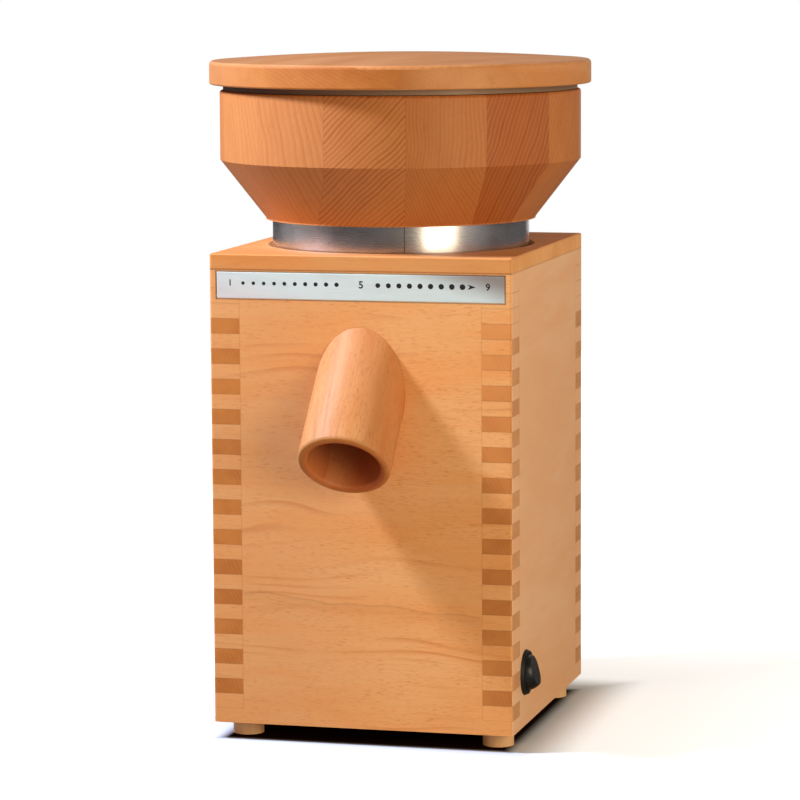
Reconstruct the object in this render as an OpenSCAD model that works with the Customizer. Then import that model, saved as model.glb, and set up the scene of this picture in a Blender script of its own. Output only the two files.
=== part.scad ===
// Electric grain mill: a finger-jointed beech case holds an upright motor that turns the lower
// millstone. The hopper screws down on the upper stone and so sets the grinding gap.
// Millimetres. The origin is on the floor, under the axis that the stones and the hopper share.
// +X is right, +Y is back, +Z is up, and the flour spout points to the front.

/* [Case] */
// Width of the case, side to side
case_w = 180; // [176:1:200]
// Depth of the case, front to back
case_d = 190; // [180:1:210]
// Height of the case, from the lower edge of the boards to the top face
case_h = 276; // [274:1:300]
// Thickness of the four wall boards
board_t = 18; // [14:1:19]
// Radius of the upright corners of the case
corner_r = 1.5; // [0.5:0.5:4]
// Height of the edge that the top board shows above the walls
top_edge = 9; // [8:0.5:14]
// Depth of the top board's tongue between the walls
tongue_t = 9; // [7:0.5:12]
// Bevel along the upper edges of the top board
top_bevel = 0.8; // [0.4:0.2:2]
// Thickness of the bottom plate
bottom_t = 12; // [8:1:16]

/* [Finger joints] */
// Height of one finger on the front corners
front_finger = 8.84; // [8:0.02:9]
// Number of fingers up a front corner, both boards counted
front_count = 26; // [20:2:26]
// Height of the lowest front finger above the boards' lower edge
front_low = 8.6; // [6:0.2:12]
// Height of one finger on the rear corners
rear_finger = 9.53; // [9:0.01:9.8]
// Number of fingers up a rear corner, both boards counted
rear_count = 23; // [17:2:23]
// Height of the lowest rear finger above the boards' lower edge
rear_low = 9.3; // [6:0.1:12]

/* [Feet] */
// Height of the feet
foot_h = 10; // [8:1:16]
// Radius of the feet
foot_r = 9.1; // [8:0.1:12]
// Distance from the case's side to the middle of a foot
foot_inset = 14; // [12:0.5:15]
// Distance from the case's front or back to the middle of a foot
foot_setback = 23; // [22:0.5:40]

/* [Scale plate] */
// Width of the steel scale plate
plate_w = 172; // [120:1:172]
// Height of the scale plate
plate_h = 16.2; // [12:0.2:17]
// Thickness of the scale plate
plate_t = 1.2; // [0.8:0.1:2]
// Wood left between the plate and the seam under the top board
plate_drop = 1; // [0.5:0.1:3]
// Least height of the wood left between the plate and the spout
plate_clearance = 5; // [2:0.5:12]

/* [Spout] */
// Outside radius of the spout
spout_r = 26.9; // [24:0.1:28]
// Radius of the spout's bore
spout_bore_r = 21.1; // [16:0.1:21.5]
// Height of the spout's axis where it meets the front face, above the boards' lower edge
spout_rise = 196; // [190:1:200]
// Slope of the spout below the horizontal, in degrees
spout_tilt = 46; // [40:1:50]
// Length of the spout's axis outside the case
spout_reach = 51.6; // [44:0.2:60]
// Radius of the rounding on the spout's lip
spout_lip = 2.6; // [0.5:0.1:2.8]

/* [Top opening] */
// Gap between the collar and the edge of the round recess
recess_gap = 3.2; // [1.5:0.1:5]
// Depth of that recess
recess_depth = 7; // [6:0.5:8]

/* [Hopper bowl] */
// Outside radius of the bowl
bowl_r = 107.3; // [100:0.1:118]
// Wall thickness at the bowl's rim
bowl_wall = 12; // [8:1:16]
// Height of the bowl's upright wall
bowl_side = 41; // [36:0.1:60]
// Height of the bowl's sloping part
bowl_slope = 34.6; // [28:0.1:40]
// Height of the small upright lip at the bowl's foot
bowl_lip = 0.8; // [0.4:0.2:5]
// Distance that the bowl's foot stands out past the collar
bowl_foot_step = 3.9; // [2:0.1:7]
// Radius of the rounding on the bowl's rim
bowl_rim_round = 1.6; // [0.4:0.2:3]
// Radius of the throat in the bowl's floor
throat_r = 27; // [22:1:32]

/* [Collar and thread] */
// Outside radius of the steel collar
collar_r = 76.5; // [74:0.1:77]
// Thickness of the collar's sheet
collar_t = 1.2; // [0.8:0.1:1.6]
// Height of the collar above the top board
collar_show = 15.4; // [12:0.2:24]
// Depth that the collar dips into the recess
collar_dip = 4.5; // [3:0.1:4.8]
// Outside radius of the threaded sleeve under the bowl
sleeve_r = 51.7; // [51:0.1:52.5]
// Width of the rim and the height of the flange on the sleeve
sleeve_wall = 4; // [3:0.5:5]
// Wall of the threaded ring in the top board
ring_wall = 4; // [3:0.5:5]
// Thickness of the threaded ring's flange
ring_flange = 6; // [5:0.5:8]

/* [Lid] */
// Distance that the lid stands out past the bowl
lid_overhang = 6.1; // [2:0.1:12]
// Thickness of the lid in its middle
lid_t = 18; // [13:0.2:22]
// Rise of the lid's domed top above its edge
lid_crown = 4; // [0.5:0.1:5]
// Radius of the rounding on the lid's upper edge
lid_round = 2.5; // [1:0.5:5]
// Radius of the rounding on the lid's lower edge
lid_under = 1.2; // [0.4:0.2:3]
// Height of the gap that the ring leaves between lid and bowl
lid_gap = 3.5; // [1.5:0.1:5]
// Distance that the ring under the lid stays behind the bowl's outside
lid_ring_inset = 2; // [1:0.5:7]

/* [Stones] */
// Radius of both millstones
stone_r = 42.5; // [40:0.5:43]
// Thickness of the lower millstone
lower_stone_t = 18; // [14:1:20]
// Thickness of the upper millstone
upper_stone_t = 15.25; // [14:0.25:16]
// Radius of the upper millstone's eye
eye_r = 14; // [12:0.5:16]
// Gap between the stones at the middle of the scale
stone_gap = 1.25; // [1.2:0.05:1.4]
// Depth of the furrows in the stones at the eye
furrow_depth = 2.4; // [1:0.1:3]
// Width of a main furrow
furrow_w = 3.4; // [2:0.1:4]
// Number of furrow groups on each stone
furrow_groups = 8; // [6:1:10]

/* [Grinding chamber] */
// Radius of the chamber's bore
chamber_r = 54; // [53:0.5:55]
// Thickness of the chamber's wall
chamber_wall = 12; // [11:0.5:12]
// Thickness of the chamber's floor
chamber_floor = 8; // [6:1:9]
// Depth of the grinding gap below the chamber's rim
stone_drop = 12; // [11:0.5:13]
// Half the width of the flour outlet
outlet_half = 19; // [15:0.5:19]
// Radius of the three guide pins
pin_r = 1.5; // [1.2:0.1:1.8]
// Mean radius of the three stone springs
spring_r = 3.4; // [3:0.1:3.8]
// Radius of the spring wire
wire_r = 0.5; // [0.3:0.05:0.6]
// Turns in each spring
spring_turns = 5; // [4:1:6]

/* [Motor] */
// Outside radius of the motor
motor_r = 62; // [58:0.5:63]
// Height of the laminated stator
stack_h = 60; // [50:1:64]
// Height of the winding heads above and below the stator
winding_h = 15; // [10:1:16]
// Radius of the rotor
rotor_r = 35.6; // [30:0.1:36]
// Air gap between rotor and stator
air_gap = 0.4; // [0.3:0.1:1]
// Number of stator slots
slot_count = 24; // [12:1:24]
// Radius of the bearing seats on the shaft
journal_r = 7.45; // [7:0.05:8]
// Outside radius of the ball bearings
bearing_r = 17.5; // [16:0.5:20]
// Width of the ball bearings
bearing_w = 11; // [9:1:12]
// Radius of the cooling fan
fan_r = 48; // [40:1:50]
// Number of blades on the fan
fan_blades = 9; // [6:1:12]

/* [Switch and cord entry] */
// Height of the switch's centre above the boards' lower edge
switch_rise = 31.5; // [30:0.5:36]
// Distance from the case's front face to the switch's centre
switch_setback = 32.3; // [32:0.1:60]
// Radius of the switch's bezel
bezel_r = 13.4; // [13:0.1:15]
// Thickness of the bezel
bezel_t = 2.2; // [1.5:0.1:3]
// Radius of the round rocker
rocker_r = 10.6; // [9.5:0.1:11]
// Tilt of the rocker to either side, in degrees
rocker_tilt = 15; // [8:1:16]
// Radius of the hole for the mains cord
cord_r = 3.7; // [3:0.1:4.5]

/* [Hidden] */

$fn = 96;
CUT = 1;            // how far a cutting shape reaches past the face it cuts
GLUE = 0.1;         // clearance between pieces of one body that are glued or pressed together
RUN = 0.3;          // clearance between faces that move past each other
SHAFT_FIT = 0.05;   // radial clearance of a shaft or pin in its bearing

BEECH = "#DD9A5C";
BEECH_PALE = "#E3AC72";
STEEL = "#B9BCBF";
DARK_STEEL = "#6F7478";
ALU = "#A9ADB0";
STONE = "#CFC9BC";
BLACK = "#1D1C1B";
COPPER = "#B06A3B";
PALE_PLASTIC = "#E0DCD0";

// Case
inner_w = case_w - 2 * board_t;
inner_d = case_d - 2 * board_t;
front_y = -case_d / 2;
case_top = foot_h + case_h;
seam_z = case_top - top_edge;
wall_h = seam_z - foot_h;
tongue_z = seam_z - tongue_t;
recess_z = case_top - recess_depth;
recess_r = collar_r + recess_gap;
floor_z = foot_h + bottom_t;
vent_w = 5;
vent_l = 70;
vent_pitch = 12;
vent_count = 7;
vent_y = -10;
plate_bevel = 0.8;

// Battens that carry the bottom plate
batten = 12;
front_batten_in = 35;
rear_batten_in = 11;
batten_y = [-inner_d / 2 + front_batten_in, inner_d / 2 - rear_batten_in];
base_screw_r = 1.8;
base_head_r = 3.6;
base_head_h = 3;
base_screw_l = bottom_t + batten - base_head_h - 3;
base_screw_in = 12;

// Feet
tenon_r = 2.5;
tenon_l = 14;
tenon_cover = 1.5;
foot_x = case_w / 2 - min(foot_inset, board_t - tenon_r - tenon_cover);
foot_y = case_d / 2 - foot_setback;

// Threaded ring and grinding chamber, downwards from the top board
thread_r = sleeve_r + RUN;
ring_r = thread_r + ring_wall;
chamber_top = tongue_z - ring_flange;
chamber_out_r = chamber_r + chamber_wall;
gap_z = chamber_top - stone_drop;
hub_z = gap_z - lower_stone_t;
hub_flange = 6;
wiper_z = hub_z - 8;
chamber_floor_z = wiper_z - 2;
chamber_z = chamber_floor_z - chamber_floor;
bolt_r = 2.5;
chamber_bolt_circle = chamber_r + chamber_wall * 2 / 3;
chamber_bolt_top = recess_z - 3;
motor_bolt_bite = 7;
seal_r = 16;
seal_h = 6;
hub_r = 11;
hub_flange_r = 40;
eye_bevel = 6.5;

// Upper stone and its sprung carrier
upper_z = gap_z + stone_gap;
upper_top = upper_z + upper_stone_t;
carrier_t = 3;
carrier_top = upper_top + carrier_t;
lug_z = gap_z + 5;
spring_h = 15;
lug_t = 4;
lug_w = 10;
pin_circle = chamber_r + 3.5;
pocket_r = pin_circle + spring_r + 1.6;
pocket_z = lug_z - spring_h;
pocket_half = spring_r + wire_r + 2.1;
pin_seat = 6;
pin_angles = [90, 210, 330];
carrier_plate_r = 50;
wire_sides = 6;
turn_steps = 12;

// Flour outlet between the chamber and the spout
spout_z = foot_h + spout_rise;
spout_top_z = spout_z + spout_r / cos(spout_tilt);
inner_front_y = front_y + board_t;
spout_inner_z = spout_z + board_t * tan(spout_tilt);

// The scale plate hangs from the seam and ends above the spout
plate_high_z = seam_z - plate_drop;
plate_low_z = max(plate_high_z - plate_h, spout_top_z + plate_clearance);
plate_seen_h = plate_high_z - plate_low_z;

outlet_top = gap_z - 1;
outlet_wall = 4;
outlet_fall = 10;

// Motor, downwards from the chamber
pillar_h = 8;
motor_top = chamber_z - pillar_h;
shield_t = 8;
bearing_top_z = motor_top - shield_t - bearing_w;
shield_wall = 5;
stack_top = bearing_top_z - winding_h;
stack_z = stack_top - stack_h;
bearing_low_z = stack_z - winding_h - bearing_w;
motor_z = bearing_low_z - shield_t;
motor_bolt_circle = motor_r - 6;
boss_r = 5.5;
head_h = 4;
head_r = 4.5;
slot_w = 4;
slot_depth = 13;
winding_r = rotor_r + air_gap + slot_depth + 1;
core_r = 9;
shaft_top_r = 7;
fan_seat_r = 6;
fan_h = 14;
fan_z = motor_z - head_h - 3 - fan_h;
shaft_z = fan_z - 2;
shaft_top = gap_z - 1;
window_half = 16;
window_edge = 4;
bearing_boss_r = bearing_r + 4.5;
shaft_hole_r = journal_r + 3;
clamp_r = 3;
clamp_bite = 14;

// Hopper
bowl_foot_r = collar_r + bowl_foot_step;
bowl_z = case_top + collar_show;
bowl_edge_z = bowl_z + bowl_lip + bowl_slope;
bowl_top = bowl_edge_z + bowl_side;
bowl_funnel_z = bowl_edge_z + bowl_wall;
throat_rise = 10.6;
bowl_throat_z = bowl_z + throat_rise;
collar_z = case_top - collar_dip;
collar_flange_r = 60;
sleeve_z = carrier_top + RUN;
sleeve_top = bowl_z - collar_t;
sleeve_flange = 8;
sleeve_flange_r = 66;
hopper_screw_circle = 63;
hopper_screw_r = 2;
hopper_screw_bite = 14;
hopper_head_h = 3;
guard_h = 4;

// Lid
lid_r = bowl_r + lid_overhang;
lid_ring_r = bowl_r - lid_ring_inset;
lid_z = bowl_top + lid_gap;
rim_r = bowl_r - bowl_wall - 0.4;
rim_w = 4;
rim_h = 4;
dome_steps = 12;

// Switch
switch_z = foot_h + switch_rise;
switch_y = front_y + switch_setback;
face_x = case_w / 2;
switch_body_r = bezel_r - 1.3;
switch_depth = 26;
pivot_x = face_x + 0.5;
rocker_gap = RUN;
trunnion_r = 1.5;
trunnion_reach = 0.8;
rocker_dish = 3;
rocker_face = 5.6;
rocker_back = 6;

// Push-on tabs of the switch and the capacitor
tab_w = 6;
tab_l = 8;
tab_t = 0.8;
tab_space = 10;
switch_tab_x = face_x - switch_depth - tab_l;

// Cord entry
gland_x = -50;
gland_rise = 30;
gland_z = foot_h + gland_rise;
gland_r = 7.1;
gland_flange = 3;
gland_flange_r = gland_r + 3;
gland_cap = 10;
gland_cap_r = gland_r + 1.5;
gland_taper = 2;
nut_h = 6;
nut_r = gland_r + 3.4;

// Motor electrics
cap_r = 16;
cap_len = 70;
cap_gap = 3;
clip_t = 1.5;
clip_w = 14;
clip_foot = 14;
cap_y = inner_d / 2 - cap_r - cap_gap;
cap_z = floor_z + cap_r + clip_t + GLUE;
cap_tab_x = cap_len / 2 + tab_l;
poles = 4;
pole_w = 9;
pole_d = 14;
pole_h = 14;
pole_gap = 1.2;
pole_bore = 2.6;
block_rim = 2.2;
block_w = poles * (pole_w + pole_gap) - pole_gap + 2 * block_rim;
block_d = pole_d + 4;
block_base = 6;
block_x = -inner_w / 2 + batten + 4 + block_w / 2;
block_y = inner_front_y + 12 + block_d / 2;
pole_seat_z = floor_z + block_base + 1;

// Lead wires
lead_r = 1.25;
lead_sides = 8;
lead_steps = 4;
lead_z = stack_z - winding_h / 2;
lead_run_r = motor_r + 5;
lead_turn = 3;
lead_sag = 6;
lead_drop = 17;
lead_plunge = 7;
tab_run = 10;
lead_apart = 10;
lead_step = 12;

// A rectangle with rounded corners, centred
module rounded_plan(w, d, r) {
    square([w - 2 * r, d], center = true);
    square([w, d - 2 * r], center = true);
    for (x = [-1, 1], y = [-1, 1]) translate([x * (w / 2 - r), y * (d / 2 - r)]) circle(r);
}

// Places its child in the two or four corners it names, mirrored so that it points outwards
module at_corner(side, end) {
    mirror([side < 0 ? 1 : 0, 0, 0]) mirror([0, end < 0 ? 1 : 0, 0])
        translate([case_w / 2 - board_t, case_d / 2 - board_t, foot_h]) children();
}

// Places its child on a circle round the axis, once for each angle
module around(r, angles) {
    for (a = angles) rotate([0, 0, a]) translate([r, 0, 0]) children();
}

// A flat ring
module ring(r_out, r_in, h) {
    rotate_extrude() translate([r_in, 0]) square([r_out - r_in, h]);
}

// A screw pointing up: a flat head at z = 0 and a plain shank above it
module screw(shank_r, length, top_r, top_h) {
    cylinder(r = top_r, h = top_h);
    translate([0, 0, top_h]) cylinder(r = shank_r, h = length);
}

// ---------------------------------------------------------------- case

// The side board's share of a corner post: square fingers between two mitred shoulders
module side_share(low, finger, count) {
    over = board_t + CUT;
    for (k = [1 : 2 : count - 1])
        translate([0, 0, low + k * finger]) cube([over, over, finger]);
    for (span = [[-CUT, low], [low + count * finger, wall_h + CUT]])
        translate([0, 0, span[0]]) linear_extrude(span[1] - span[0])
            polygon([[0, 0], [over, 0], [over, over]]);
}

// The front or back board's share of a corner post
module end_share(low, finger, count) {
    difference() {
        translate([0, 0, -CUT]) cube([board_t + CUT, board_t + CUT, wall_h + 2 * CUT]);
        side_share(low, finger, count);
    }
}

// A wall board before its joints are cut, with the case's rounded corners
module wall_blank(w, d, x, y) {
    intersection() {
        translate([x - w / 2, y - d / 2, foot_h]) cube([w, d, wall_h]);
        translate([0, 0, foot_h]) linear_extrude(wall_h) rounded_plan(case_w, case_d, corner_r);
    }
}

// Moves its child to the spout's frame: +Z runs down the spout, z = 0 is on the front face
module on_spout() {
    translate([0, front_y, spout_z]) rotate([90 + spout_tilt, 0, 0]) children();
}

module front_panel() {
    color(BEECH) difference() {
        wall_blank(case_w, board_t, 0, front_y + board_t / 2);
        for (side = [-1, 1]) at_corner(side, -1) side_share(front_low, front_finger, front_count);
        on_spout() translate([0, 0, -2 * board_t - spout_r])
            cylinder(r = spout_r + GLUE, h = 3 * board_t + 2 * spout_r);
        translate([-plate_w / 2 - GLUE, front_y - CUT, plate_low_z - GLUE])
            cube([plate_w + 2 * GLUE, plate_t + CUT, plate_seen_h + 2 * GLUE]);
    }
}

module back_panel() {
    color(BEECH) difference() {
        wall_blank(case_w, board_t, 0, case_d / 2 - board_t / 2);
        for (side = [-1, 1]) at_corner(side, 1) side_share(rear_low, rear_finger, rear_count);
        translate([gland_x, inner_d / 2 - CUT, gland_z]) rotate([-90, 0, 0])
            cylinder(r = gland_r + GLUE, h = board_t + 2 * CUT);
    }
}

module side_panel(side) {
    color(BEECH_PALE) difference() {
        wall_blank(board_t, case_d, side * (case_w - board_t) / 2, 0);
        at_corner(side, -1) end_share(front_low, front_finger, front_count);
        at_corner(side, 1) end_share(rear_low, rear_finger, rear_count);
        for (y = [-foot_y, foot_y]) translate([side * foot_x, y, foot_h - CUT])
            cylinder(r = tenon_r + GLUE, h = tenon_l + CUT + GLUE);
    }
}

module left_panel() {
    side_panel(-1);
}

module right_panel() {
    color(BEECH_PALE) difference() {
        side_panel(1);
        translate([face_x - board_t - CUT, switch_y, switch_z]) rotate([0, 90, 0])
            cylinder(r = switch_body_r + GLUE, h = board_t + 2 * CUT);
    }
}

// A block with a bevel along its upper edges
module bevelled_slab(w, d, h, bevel) {
    intersection() {
        rotate([90, 0, 0]) translate([0, 0, -d / 2 - CUT]) linear_extrude(d + 2 * CUT)
            polygon([[-w / 2, 0], [w / 2, 0], [w / 2, h - bevel], [w / 2 - bevel, h],
                     [-w / 2 + bevel, h], [-w / 2, h - bevel]]);
        rotate([90, 0, 90]) translate([0, 0, -w / 2 - CUT]) linear_extrude(w + 2 * CUT)
            polygon([[-d / 2, 0], [d / 2, 0], [d / 2, h - bevel], [d / 2 - bevel, h],
                     [-d / 2 + bevel, h], [-d / 2, h - bevel]]);
    }
}

module top_board() {
    color(BEECH) difference() {
        union() {
            intersection() {
                translate([0, 0, seam_z]) bevelled_slab(case_w, case_d, top_edge, top_bevel);
                translate([0, 0, seam_z]) linear_extrude(top_edge)
                    rounded_plan(case_w, case_d, corner_r);
            }
            translate([-inner_w / 2 + GLUE, -inner_d / 2 + GLUE, tongue_z])
                cube([inner_w - 2 * GLUE, inner_d - 2 * GLUE, tongue_t]);
        }
        translate([0, 0, recess_z]) cylinder(r = recess_r, h = recess_depth + CUT);
        translate([0, 0, tongue_z - CUT]) cylinder(r = ring_r + GLUE, h = tongue_t + top_edge);
        around(chamber_bolt_circle, [45 : 90 : 315])
            translate([0, 0, tongue_z - CUT])
                cylinder(r = bolt_r + SHAFT_FIT, h = chamber_bolt_top - tongue_z + CUT);
    }
}

module bottom_plate() {
    color(BEECH_PALE) difference() {
        translate([-inner_w / 2 + GLUE, -inner_d / 2 + GLUE, foot_h])
            cube([inner_w - 2 * GLUE, inner_d - 2 * GLUE, bottom_t]);
        for (k = [0 : vent_count - 1])
            translate([(k - (vent_count - 1) / 2) * vent_pitch, vent_y, foot_h - CUT])
                linear_extrude(bottom_t + 2 * CUT) vent_slot();
        base_screw_places() screw(base_screw_r + SHAFT_FIT, base_screw_l, base_head_r + GLUE,
                                  base_head_h);
    }
}

// One air slot with round ends
module vent_slot() {
    square([vent_w, vent_l - vent_w], center = true);
    for (y = [-1, 1]) translate([0, y * (vent_l - vent_w) / 2]) circle(vent_w / 2);
}

// The four screws that hold the bottom plate up against the battens
module base_screw_places() {
    for (x = [-1, 1], y = [batten_y[0] + base_screw_in, batten_y[1] - base_screw_in])
        translate([x * (inner_w - batten) / 2, y, foot_h]) children();
}

module base_battens() {
    color(BEECH_PALE) difference() {
        for (side = [-1, 1])
            translate([side * (inner_w - batten) / 2 - batten / 2, batten_y[0], floor_z])
                cube([batten, batten_y[1] - batten_y[0], batten]);
        base_screw_places() screw(base_screw_r + SHAFT_FIT, base_screw_l + CUT, base_head_r,
                                  base_head_h);
    }
}

module base_screws() {
    color(STEEL) base_screw_places() screw(base_screw_r, base_screw_l, base_head_r, base_head_h);
}

// The places of the four feet
module foot_places() {
    for (x = [-1, 1], y = [-1, 1]) translate([x * foot_x, y * foot_y, 0]) children();
}

// Turned feet, each with a tenon that is glued into the side board above it
module feet() {
    color(BEECH_PALE) foot_places() {
        cylinder(r = foot_r, h = foot_h);
        cylinder(r = tenon_r, h = foot_h + tenon_l);
    }
}

module scale_plate() {
    color(STEEL) translate([0, front_y + plate_t, plate_low_z + plate_seen_h / 2])
        rotate([90, 0, 0]) bevelled_slab(plate_w, plate_seen_h, plate_t, plate_bevel);
}

module spout() {
    wall = spout_r - spout_bore_r;
    lip = min(spout_lip, (wall - RUN) / 2);
    back = 2 * board_t + 2 * spout_r;
    color(BEECH) difference() {
        on_spout() rotate_extrude() translate([spout_bore_r, 0]) {
            translate([0, -back]) square([wall, back + spout_reach - lip]);
            translate([lip, 0]) square([wall - 2 * lip, spout_reach]);
            for (x = [lip, wall - lip]) translate([x, spout_reach - lip]) circle(lip);
        }
        translate([-2 * spout_r, inner_front_y, spout_z - spout_r])
            cube([4 * spout_r, 4 * back, 4 * back]);
    }
}

// ---------------------------------------------------------------- switch and cord entry

// Moves its child to the switch: +Z points out of the case's right face
module on_switch() {
    translate([face_x, switch_y, switch_z]) rotate([0, 90, 0]) children();
}

module switch_body() {
    color(BLACK) {
        difference() {
            on_switch() union() {
                translate([0, 0, -switch_depth]) cylinder(r = switch_body_r, h = switch_depth);
                cylinder(r1 = bezel_r, r2 = bezel_r - 0.8, h = bezel_t);
            }
            on_switch() translate([0, 0, -rocker_r - RUN])
                cylinder(r = rocker_r + rocker_gap, h = rocker_r + bezel_t + CUT);
            translate([pivot_x, switch_y, switch_z]) rotate([90, 0, 0])
                cylinder(r = trunnion_r + SHAFT_FIT, h = 2 * rocker_r + 2 * trunnion_reach + RUN,
                         center = true);
        }
        for (z = [-1, 1] * tab_space / 2)
            translate([switch_tab_x, switch_y - tab_w / 2, switch_z + z - tab_t / 2])
                cube([tab_l, tab_w, tab_t]);
    }
}

// The round rocker, tilted so that its lower half stands out
module switch_rocker() {
    edge = rocker_r + CUT;
    rise = edge * tan(rocker_dish);
    color(BLACK) translate([pivot_x, switch_y, switch_z]) rotate([90, -rocker_tilt, 0]) {
        intersection() {
            sphere(r = rocker_r);
            linear_extrude(2 * edge, center = true)
                polygon([[-rocker_back, -edge], [rocker_face + rise, -edge], [rocker_face, 0],
                         [rocker_face + rise, edge], [-rocker_back, edge]]);
        }
        cylinder(r = trunnion_r, h = 2 * rocker_r + 2 * trunnion_reach, center = true);
    }
}

module cord_gland() {
    flange_y = board_t + gland_flange;
    cap_y = flange_y + gland_cap;
    color(BLACK) translate([gland_x, inner_d / 2, gland_z]) rotate([-90, 0, 0]) rotate_extrude()
        polygon([[cord_r, -nut_h], [gland_r, -nut_h], [gland_r, board_t], [gland_flange_r, board_t],
                 [gland_flange_r, flange_y], [gland_cap_r, flange_y],
                 [gland_cap_r - gland_taper / 2, cap_y - gland_taper],
                 [gland_cap_r - 3 * gland_taper / 2, cap_y], [cord_r, cap_y]]);
}

module gland_nut() {
    color(BLACK) translate([gland_x, inner_d / 2, gland_z]) rotate([90, 0, 0]) difference() {
        cylinder(r = nut_r, h = nut_h, $fn = 6);
        translate([0, 0, -CUT]) cylinder(r = gland_r + GLUE, h = nut_h + 2 * CUT);
    }
}

// ---------------------------------------------------------------- grinding chamber

module thread_ring() {
    color(ALU) difference() {
        rotate_extrude() polygon([[thread_r, chamber_top], [chamber_out_r, chamber_top],
            [chamber_out_r, tongue_z], [ring_r, tongue_z], [ring_r, recess_z],
            [thread_r, recess_z]]);
        around(chamber_bolt_circle, [45 : 90 : 315]) translate([0, 0, chamber_top - CUT])
            cylinder(r = bolt_r + GLUE, h = ring_flange + 2 * CUT);
    }
}

// Side view of the flour outlet, as y and z, from inside the chamber to the front board. Its
// floor falls towards the spout. grow adds the wall.
function outlet_profile(grow) =
    let (inside = -chamber_r + 8, brink = -chamber_r - 6, end = inner_front_y + (grow > 0 ? 0 : -CUT))
    [[inside, chamber_floor_z - grow], [brink, chamber_floor_z - grow],
     [end, chamber_floor_z - outlet_fall - grow], [end, outlet_top + grow],
     [inside, outlet_top + grow]];

module outlet_block(half, grow) {
    rotate([90, 0, 90]) linear_extrude(2 * half, center = true) polygon(outlet_profile(grow));
}

module mill_chamber() {
    color(ALU) difference() {
        union() {
            translate([0, 0, chamber_z])
                cylinder(r = chamber_out_r, h = chamber_top - chamber_z);
            outlet_block(outlet_half + outlet_wall, outlet_wall);
        }
        translate([0, 0, chamber_floor_z])
            cylinder(r = chamber_r, h = chamber_top - chamber_floor_z + CUT);
        translate([0, 0, chamber_z - CUT]) cylinder(r = seal_r + GLUE, h = seal_h + CUT);
        translate([0, 0, chamber_z]) cylinder(r = seal_r - 6, h = chamber_floor + CUT);
        outlet_block(outlet_half, 0);
        around(0, pin_angles) {
            translate([chamber_r - 3, -pocket_half, pocket_z])
                cube([pocket_r - chamber_r + 3, 2 * pocket_half, chamber_top - pocket_z + CUT]);
            translate([pin_circle, 0, pocket_z - pin_seat])
                cylinder(r = pin_r + GLUE, h = pin_seat + CUT);
        }
        around(chamber_bolt_circle, [45 : 90 : 315]) translate([0, 0, chamber_z - CUT])
            cylinder(r = bolt_r + GLUE, h = chamber_top - chamber_z + 2 * CUT);
        around(motor_bolt_circle, [0 : 90 : 270]) translate([0, 0, chamber_z - CUT])
            cylinder(r = bolt_r + SHAFT_FIT, h = motor_bolt_bite + CUT);
    }
}

module chamber_bolts() {
    color(DARK_STEEL) around(chamber_bolt_circle, [45 : 90 : 315])
        translate([0, 0, chamber_z - head_h])
            screw(bolt_r, chamber_bolt_top - 1 - chamber_z, head_r, head_h);
}

module guide_pins() {
    color(STEEL) around(pin_circle, pin_angles) translate([0, 0, pocket_z - pin_seat])
        cylinder(r = pin_r, h = chamber_top - 0.5 - pocket_z + pin_seat);
}

// Faces of a swept body from its rings of points: the two ends and the sides between them
function swept_faces(rings, sides) = concat(
    [[for (j = [0 : sides - 1]) j]],
    [for (i = [0 : rings - 2], j = [0 : sides - 1])
        [i * sides + j, (i + 1) * sides + j, (i + 1) * sides + (j + 1) % sides,
         i * sides + (j + 1) % sides]],
    [[for (j = [sides - 1 : -1 : 0]) (rings - 1) * sides + j]]);

// One point of a coiled spring: ring i along the helix, point j round the wire
function spring_point(i, j, height) =
    let (turn = 360 * i / turn_steps, steps = spring_turns * turn_steps, a = 360 * j / wire_sides,
         r = spring_r + wire_r * cos(a))
    [r * cos(turn), r * sin(turn), wire_r + (height - 2 * wire_r) * i / steps + wire_r * sin(a)];

module spring(height) {
    steps = spring_turns * turn_steps;
    polyhedron(
        points = [for (i = [0 : steps], j = [0 : wire_sides - 1]) spring_point(i, j, height)],
        faces = swept_faces(steps + 1, wire_sides));
}

module stone_springs() {
    color(STEEL) around(pin_circle, pin_angles) translate([0, 0, pocket_z + SHAFT_FIT])
        spring(lug_z - pocket_z - 2 * SHAFT_FIT);
}

module shaft_seal() {
    color("#6B6157") translate([0, 0, chamber_z]) ring(seal_r, shaft_top_r + RUN, seal_h);
}

// ---------------------------------------------------------------- motor

// One end shield: a disc with a bearing boss, a windowed wall and four bolt bosses.
// Its outer face is at z = 0, and its wall reaches down to the stator.
module end_shield(extra) {
    depth = motor_top - stack_top;
    difference() {
        union() {
            translate([0, 0, -shield_t]) cylinder(r = motor_r, h = shield_t);
            translate([0, 0, -depth]) ring(motor_r, motor_r - shield_wall, depth);
            translate([0, 0, -shield_t - bearing_w]) cylinder(r = bearing_boss_r, h = bearing_w + CUT);
            around(motor_bolt_circle, [0 : 90 : 270]) translate([0, 0, -depth])
                cylinder(r = boss_r, h = depth + extra);
        }
        translate([0, 0, -shield_t - bearing_w - CUT])
            cylinder(r = bearing_r + SHAFT_FIT, h = bearing_w + CUT);
        translate([0, 0, -shield_t - CUT]) cylinder(r = shaft_hole_r, h = shield_t + 2 * CUT);
        for (a = [45 : 90 : 315]) rotate([0, 0, a])
            translate([motor_r - 2 * shield_wall, -window_half, -depth + window_edge])
                cube([4 * shield_wall, 2 * window_half, depth - shield_t - 2 * window_edge]);
        around(motor_bolt_circle, [0 : 90 : 270]) translate([0, 0, -depth - CUT])
            cylinder(r = bolt_r + GLUE, h = depth + extra + 2 * CUT);
    }
}

module upper_end_shield() {
    color(ALU) translate([0, 0, motor_top]) end_shield(pillar_h);
}

module lower_end_shield() {
    color(ALU) translate([0, 0, motor_z]) mirror([0, 0, 1]) end_shield(0);
}

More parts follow.
